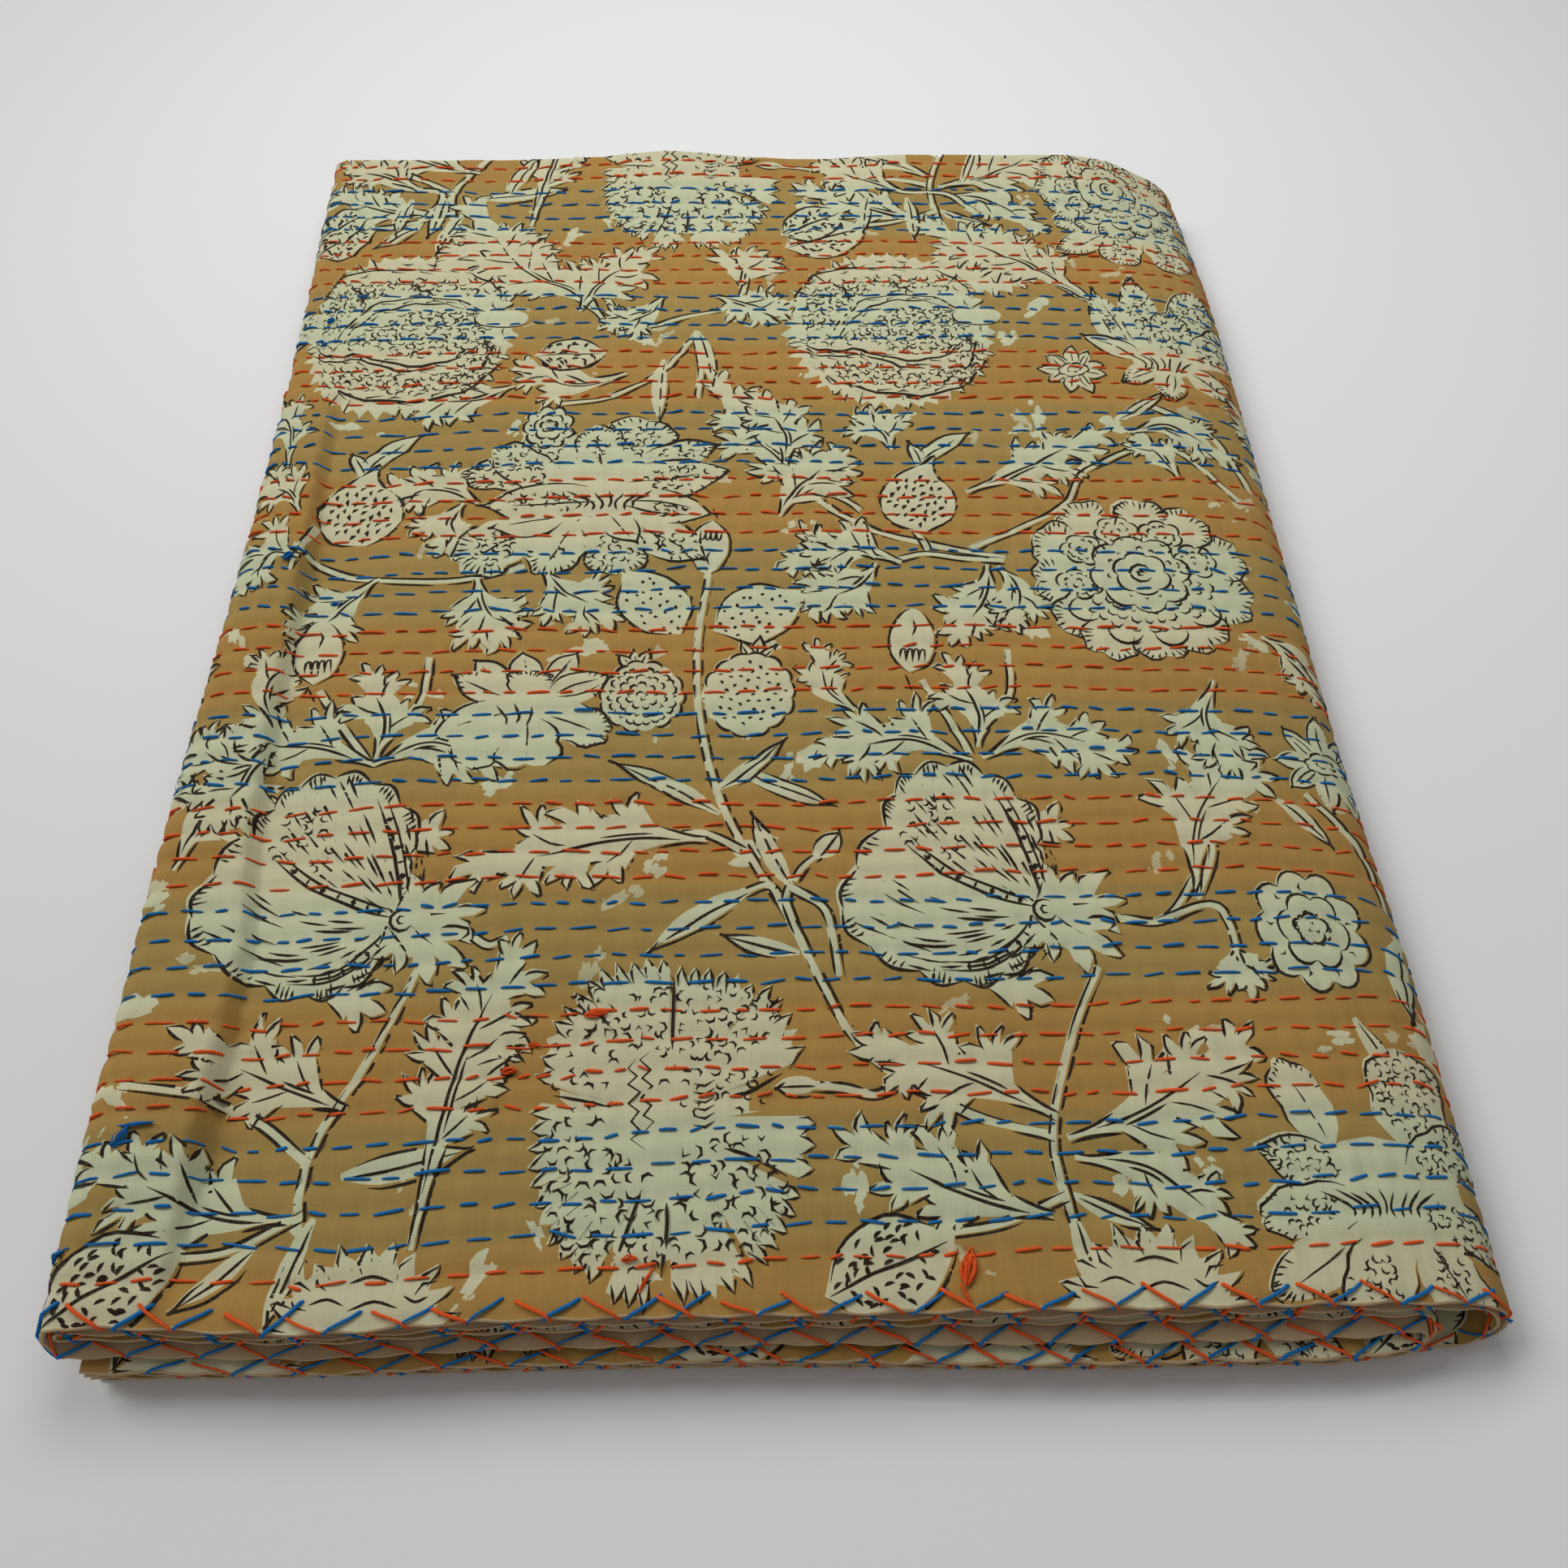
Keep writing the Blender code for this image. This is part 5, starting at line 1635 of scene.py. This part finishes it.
rng = np.random.default_rng(11)
stitches = {"orange": [], "blue": []}
for number in range(ROWS + 1):
    stitches[colour_of_row(number)].append(row_of_stitches(rng, number, *TOP_ROWS))
for low, high in OTHER_ROWS:
    stitches["orange"].append(row_of_stitches(rng, 0, low, high))
    stitches["orange"].append(row_of_stitches(rng, 0, low, high, inner=True))
    for number in (ROWS - 1, ROWS):
        stitches[colour_of_row(number)].append(row_of_stitches(rng, number, low, high))
for number in range(1, ROWS - 1):
    stitches[colour_of_row(number)].append(row_of_stitches(rng, number, *OTHER_ROWS[1]))
for shade, material in (("orange", orange_floss), ("blue", blue_floss)):
    paths = np.concatenate(stitches[shade])
    thick = THREAD_RADIUS * rng.uniform(0.75, 1.25, (len(paths), 1))
    radii = thick * np.array([0.55, 0.95, 1.1, 1.1, 0.95, 0.55])
    threads(f"running_stitch_{shade}", paths, radii, material, (0.0, 1.0, 0.0))

# ---------------------------------------------------------------------------------------------
# The loose threads. Where a row was begun or ended, a tuft of the floss has been pulled up and
# lies on the cloth as a small tangle of single plies.
# ---------------------------------------------------------------------------------------------

TUFT_RADIUS, TUFT_STEPS = 0.00032, 40

# Colour, middle on the top of the pack in cm, length and width in cm, lie in degrees, strands
TUFTS = (
    ("orange", 6.95, -35.7, 1.5, 0.42, 78, 14),
    ("orange", 6.7, -36.7, 1.0, 0.10, 115, 3),
    ("orange", -6.6, -35.1, 0.6, 0.20, 0, 6),
    ("orange", -5.9, -35.9, 1.1, 0.1, 62, 2),
    ("orange", -8.4, -24.5, 1.0, 0.22, 8, 8),
    ("orange", -11.0, -25.9, 0.6, 0.16, 0, 5),
    ("orange", -12.0, -27.1, 0.8, 0.24, 0, 6),
    ("blue", -27.4, -29.9, 1.0, 0.30, 62, 6),
    ("blue", -26.9, -29.4, 1.3, 0.12, 4, 3),
    ("blue", -25.6, 2.2, 0.8, 0.24, 30, 5),
    ("blue", -22.7, -0.4, 0.6, 0.12, 10, 3),
    ("blue", -26.4, 22.2, 0.8, 0.22, 20, 4),
    ("blue", -26.5, 20.0, 0.8, 0.22, 10, 4),
    ("blue", -29.0, -34.2, 0.9, 0.22, -30, 5),
)


def tuft(rng, x, y, long, wide, degrees, strands):
    """Strands that wind to and fro over a small oval, each a little above the one before: two
    waves of unlike length, one along the oval and one across it."""
    t = np.linspace(0, 1, TUFT_STEPS)
    start, turns = rng.uniform(0, 6, (2, strands, 1)), rng.uniform(0.4, 1.6, (2, strands, 1))
    along = long / 2 * np.sin(start[0] + 2 * math.pi * turns[0] * t)
    along = along * rng.uniform(0.6, 1.1, (strands, 1))
    across = wide / 2 * np.sin(start[1] + 2 * math.pi * turns[1] * t)
    across = across + rng.normal(0, 0.16 * wide, (strands, 1))
    across = across * (1 - 0.8 * np.minimum(1, (2 * along / long) ** 2))
    flat = turned(np.stack([along.ravel(), across.ravel()], 1), degrees)
    flat = flat.reshape(strands, TUFT_STEPS, 2) / 100
    p = x / 100 + flat[:, :, 0]
    v = y / 100 + flat[:, :, 1] - TOP_HEM
    raised = THREAD_RADIUS * (0.7 + 2.6 * np.arange(strands)[:, None] / strands + 0.4 * np.sin(9 * t))
    return np.stack([p, v, FACE_HEIGHT + puckers(p, v) + raised], -1)


fade = np.clip(6 * (0.5 - np.abs(np.linspace(-0.5, 0.5, TUFT_STEPS))), 0.3, 1)
for shade, material in (("orange", orange_floss), ("blue", blue_floss)):
    paths = np.concatenate([tuft(rng, *place) for colour, *place in TUFTS if colour == shade])
    radii = TUFT_RADIUS * rng.uniform(0.8, 1.2, (len(paths), 1)) * fade
    threads(f"loose_thread_{shade}", paths, radii, material, (0.0, 0.0, 1.0))

# ---------------------------------------------------------------------------------------------
# The cross stitch of the hems. The same floss winds over each long hem twice, orange one way and
# blue the other, through shared holes 8 mm in, and pulls the hem into shallow scallops.
# ---------------------------------------------------------------------------------------------

HOLE_DEPTH = 0.0078
HEM_THREAD_RADIUS = 0.00070
HEM_SINK, HEM_LIFT = 0.0004, 0.0006  # how deep the thread bites, and how far it stands off


def hem_stitches(rng, inner, way):
    """Stitches over one hem from end to end. From a hole on the printed side each comes down
    slantwise to the edge, goes round it and back up the plain side to the next hole. way is 1 if
    it slants to the right."""
    holes = np.arange(math.ceil(P_END / HEM_STITCH) + 1, int(P_START / HEM_STITCH))
    shift = -0.5 if inner else 0.0
    hole = (holes + shift) * HEM_STITCH + rng.normal(0, 0.0022, len(holes))
    depth = HOLE_DEPTH + rng.normal(0, 0.0012, len(holes))
    up = 1.2 if way > 0 else 0.55  # blue lies under orange
    edge = THICKNESS / 2 + HEM_THREAD_RADIUS
    share = np.array([0.0, 0.03, 0.14, 0.30, 0.42, 0.47, 0.50, 0.53, 0.58, 0.70, 0.86, 0.97, 1.0])
    depth_share = np.array([1.0, 0.95, 0.68, 0.32, 0.06, -0.10, -0.20, -0.10, 0.06, 0.32, 0.68, 0.95, 1.0])
    side = np.array([0.4, 1.0, 1.0, 1.0, 0.86, 0.55, 0.0, -0.55, -0.86, -1.0, -1.0, -1.0, -0.4])
    lift = np.array([-0.8, 0.5, 1.0, 1.0, 0.9, 0.5, 0.0, -0.5, -0.9, -1.0, -1.0, -0.5, 0.8])
    p = hole[:, None] + way * HEM_STITCH * share
    w = depth[:, None] * depth_share
    h = np.broadcast_to(side * (edge - HEM_SINK) + lift * up * HEM_LIFT, p.shape)
    v = WIDTH - w if inner else w
    return np.stack([p, v, h], -1)


for shade, material, way in (("orange", orange_floss, 1), ("blue", blue_floss, -1)):
    paths = np.concatenate([hem_stitches(rng, inner, way) for inner in (False, True)])
    along = paths[:, :, 0]
    within = (along > P_END + 0.002).all(axis=1) & (along < P_START - 0.002).all(axis=1)
    paths = paths[within]
    radii = np.full(paths.shape[:2], HEM_THREAD_RADIUS) * rng.uniform(0.85, 1.2, (len(paths), 1))
    threads(f"hem_stitch_{shade}", paths, radii, material, (1.0, 0.0, 0.0), sides=6)

# ---------------------------------------------------------------------------------------------
# The room. A pale floor in an even white light, a large soft light overhead, and a broad key
# light from the back left. The camera looks down at the pack from in front.
# ---------------------------------------------------------------------------------------------

floor_mesh = bpy.data.meshes.new("floor")
floor_mesh.from_pydata([(-6, -6, 0), (6, -6, 0), (6, 6, 0), (-6, 6, 0)], [], [(0, 1, 2, 3)])
floor = bpy.data.objects.new("floor", floor_mesh)
floor_material = bpy.data.materials.new("pale_floor")
floor_material.use_nodes = True
paint = floor_material.node_tree.nodes["Principled BSDF"]
paint.inputs["Base Color"].default_value = (0.9, 0.9, 0.9, 1)
paint.inputs["Roughness"].default_value = 0.9
floor_mesh.materials.append(floor_material)
bpy.context.scene.collection.objects.link(floor)

world = bpy.data.worlds.new("studio")
bpy.context.scene.world = world
world.use_nodes = True
air = world.node_tree.nodes["Background"]
air.inputs["Color"].default_value = (1, 1, 1, 1)
air.inputs["Strength"].default_value = 0.225


def studio_light(name, kind, power, place, aim):
    """A light at place that shines towards aim."""
    light = bpy.data.lights.new(name, kind)
    light.energy = power
    lamp = bpy.data.objects.new(name, light)
    lamp.location = place
    lamp.rotation_euler = (Vector(aim) - Vector(place)).to_track_quat("-Z", "Y").to_euler()
    bpy.context.scene.collection.objects.link(lamp)
    return light


overhead = studio_light("overhead", "AREA", 4.8, (-0.06, 0.52, 0.95), (0, 0.28, 0))
overhead.shape = "RECTANGLE"
overhead.size, overhead.size_y = 0.8, 0.6
key = studio_light("key", "SUN", 1.06, (-0.75, 0.45, 0.75), (0, 0, 0))
key.angle = math.radians(26)

camera_data = bpy.data.cameras.new("camera")
camera_data.lens, camera_data.sensor_width = 33.43, 36.0
camera = bpy.data.objects.new("camera", camera_data)
camera.location = (-0.0185, -0.5185, 0.626)
down, yaw, roll = math.radians(56.105), math.radians(-2.856), math.radians(1.797)
camera.rotation_mode = "QUATERNION"
pitched = Matrix.Rotation(yaw, 3, "Z") @ Matrix.Rotation(math.pi / 2 - down, 3, "X")
camera.rotation_quaternion = (pitched @ Matrix.Rotation(roll, 3, "Z")).to_quaternion()
bpy.context.scene.collection.objects.link(camera)
bpy.context.scene.camera = camera
bpy.context.scene.view_settings.view_transform = "Standard"
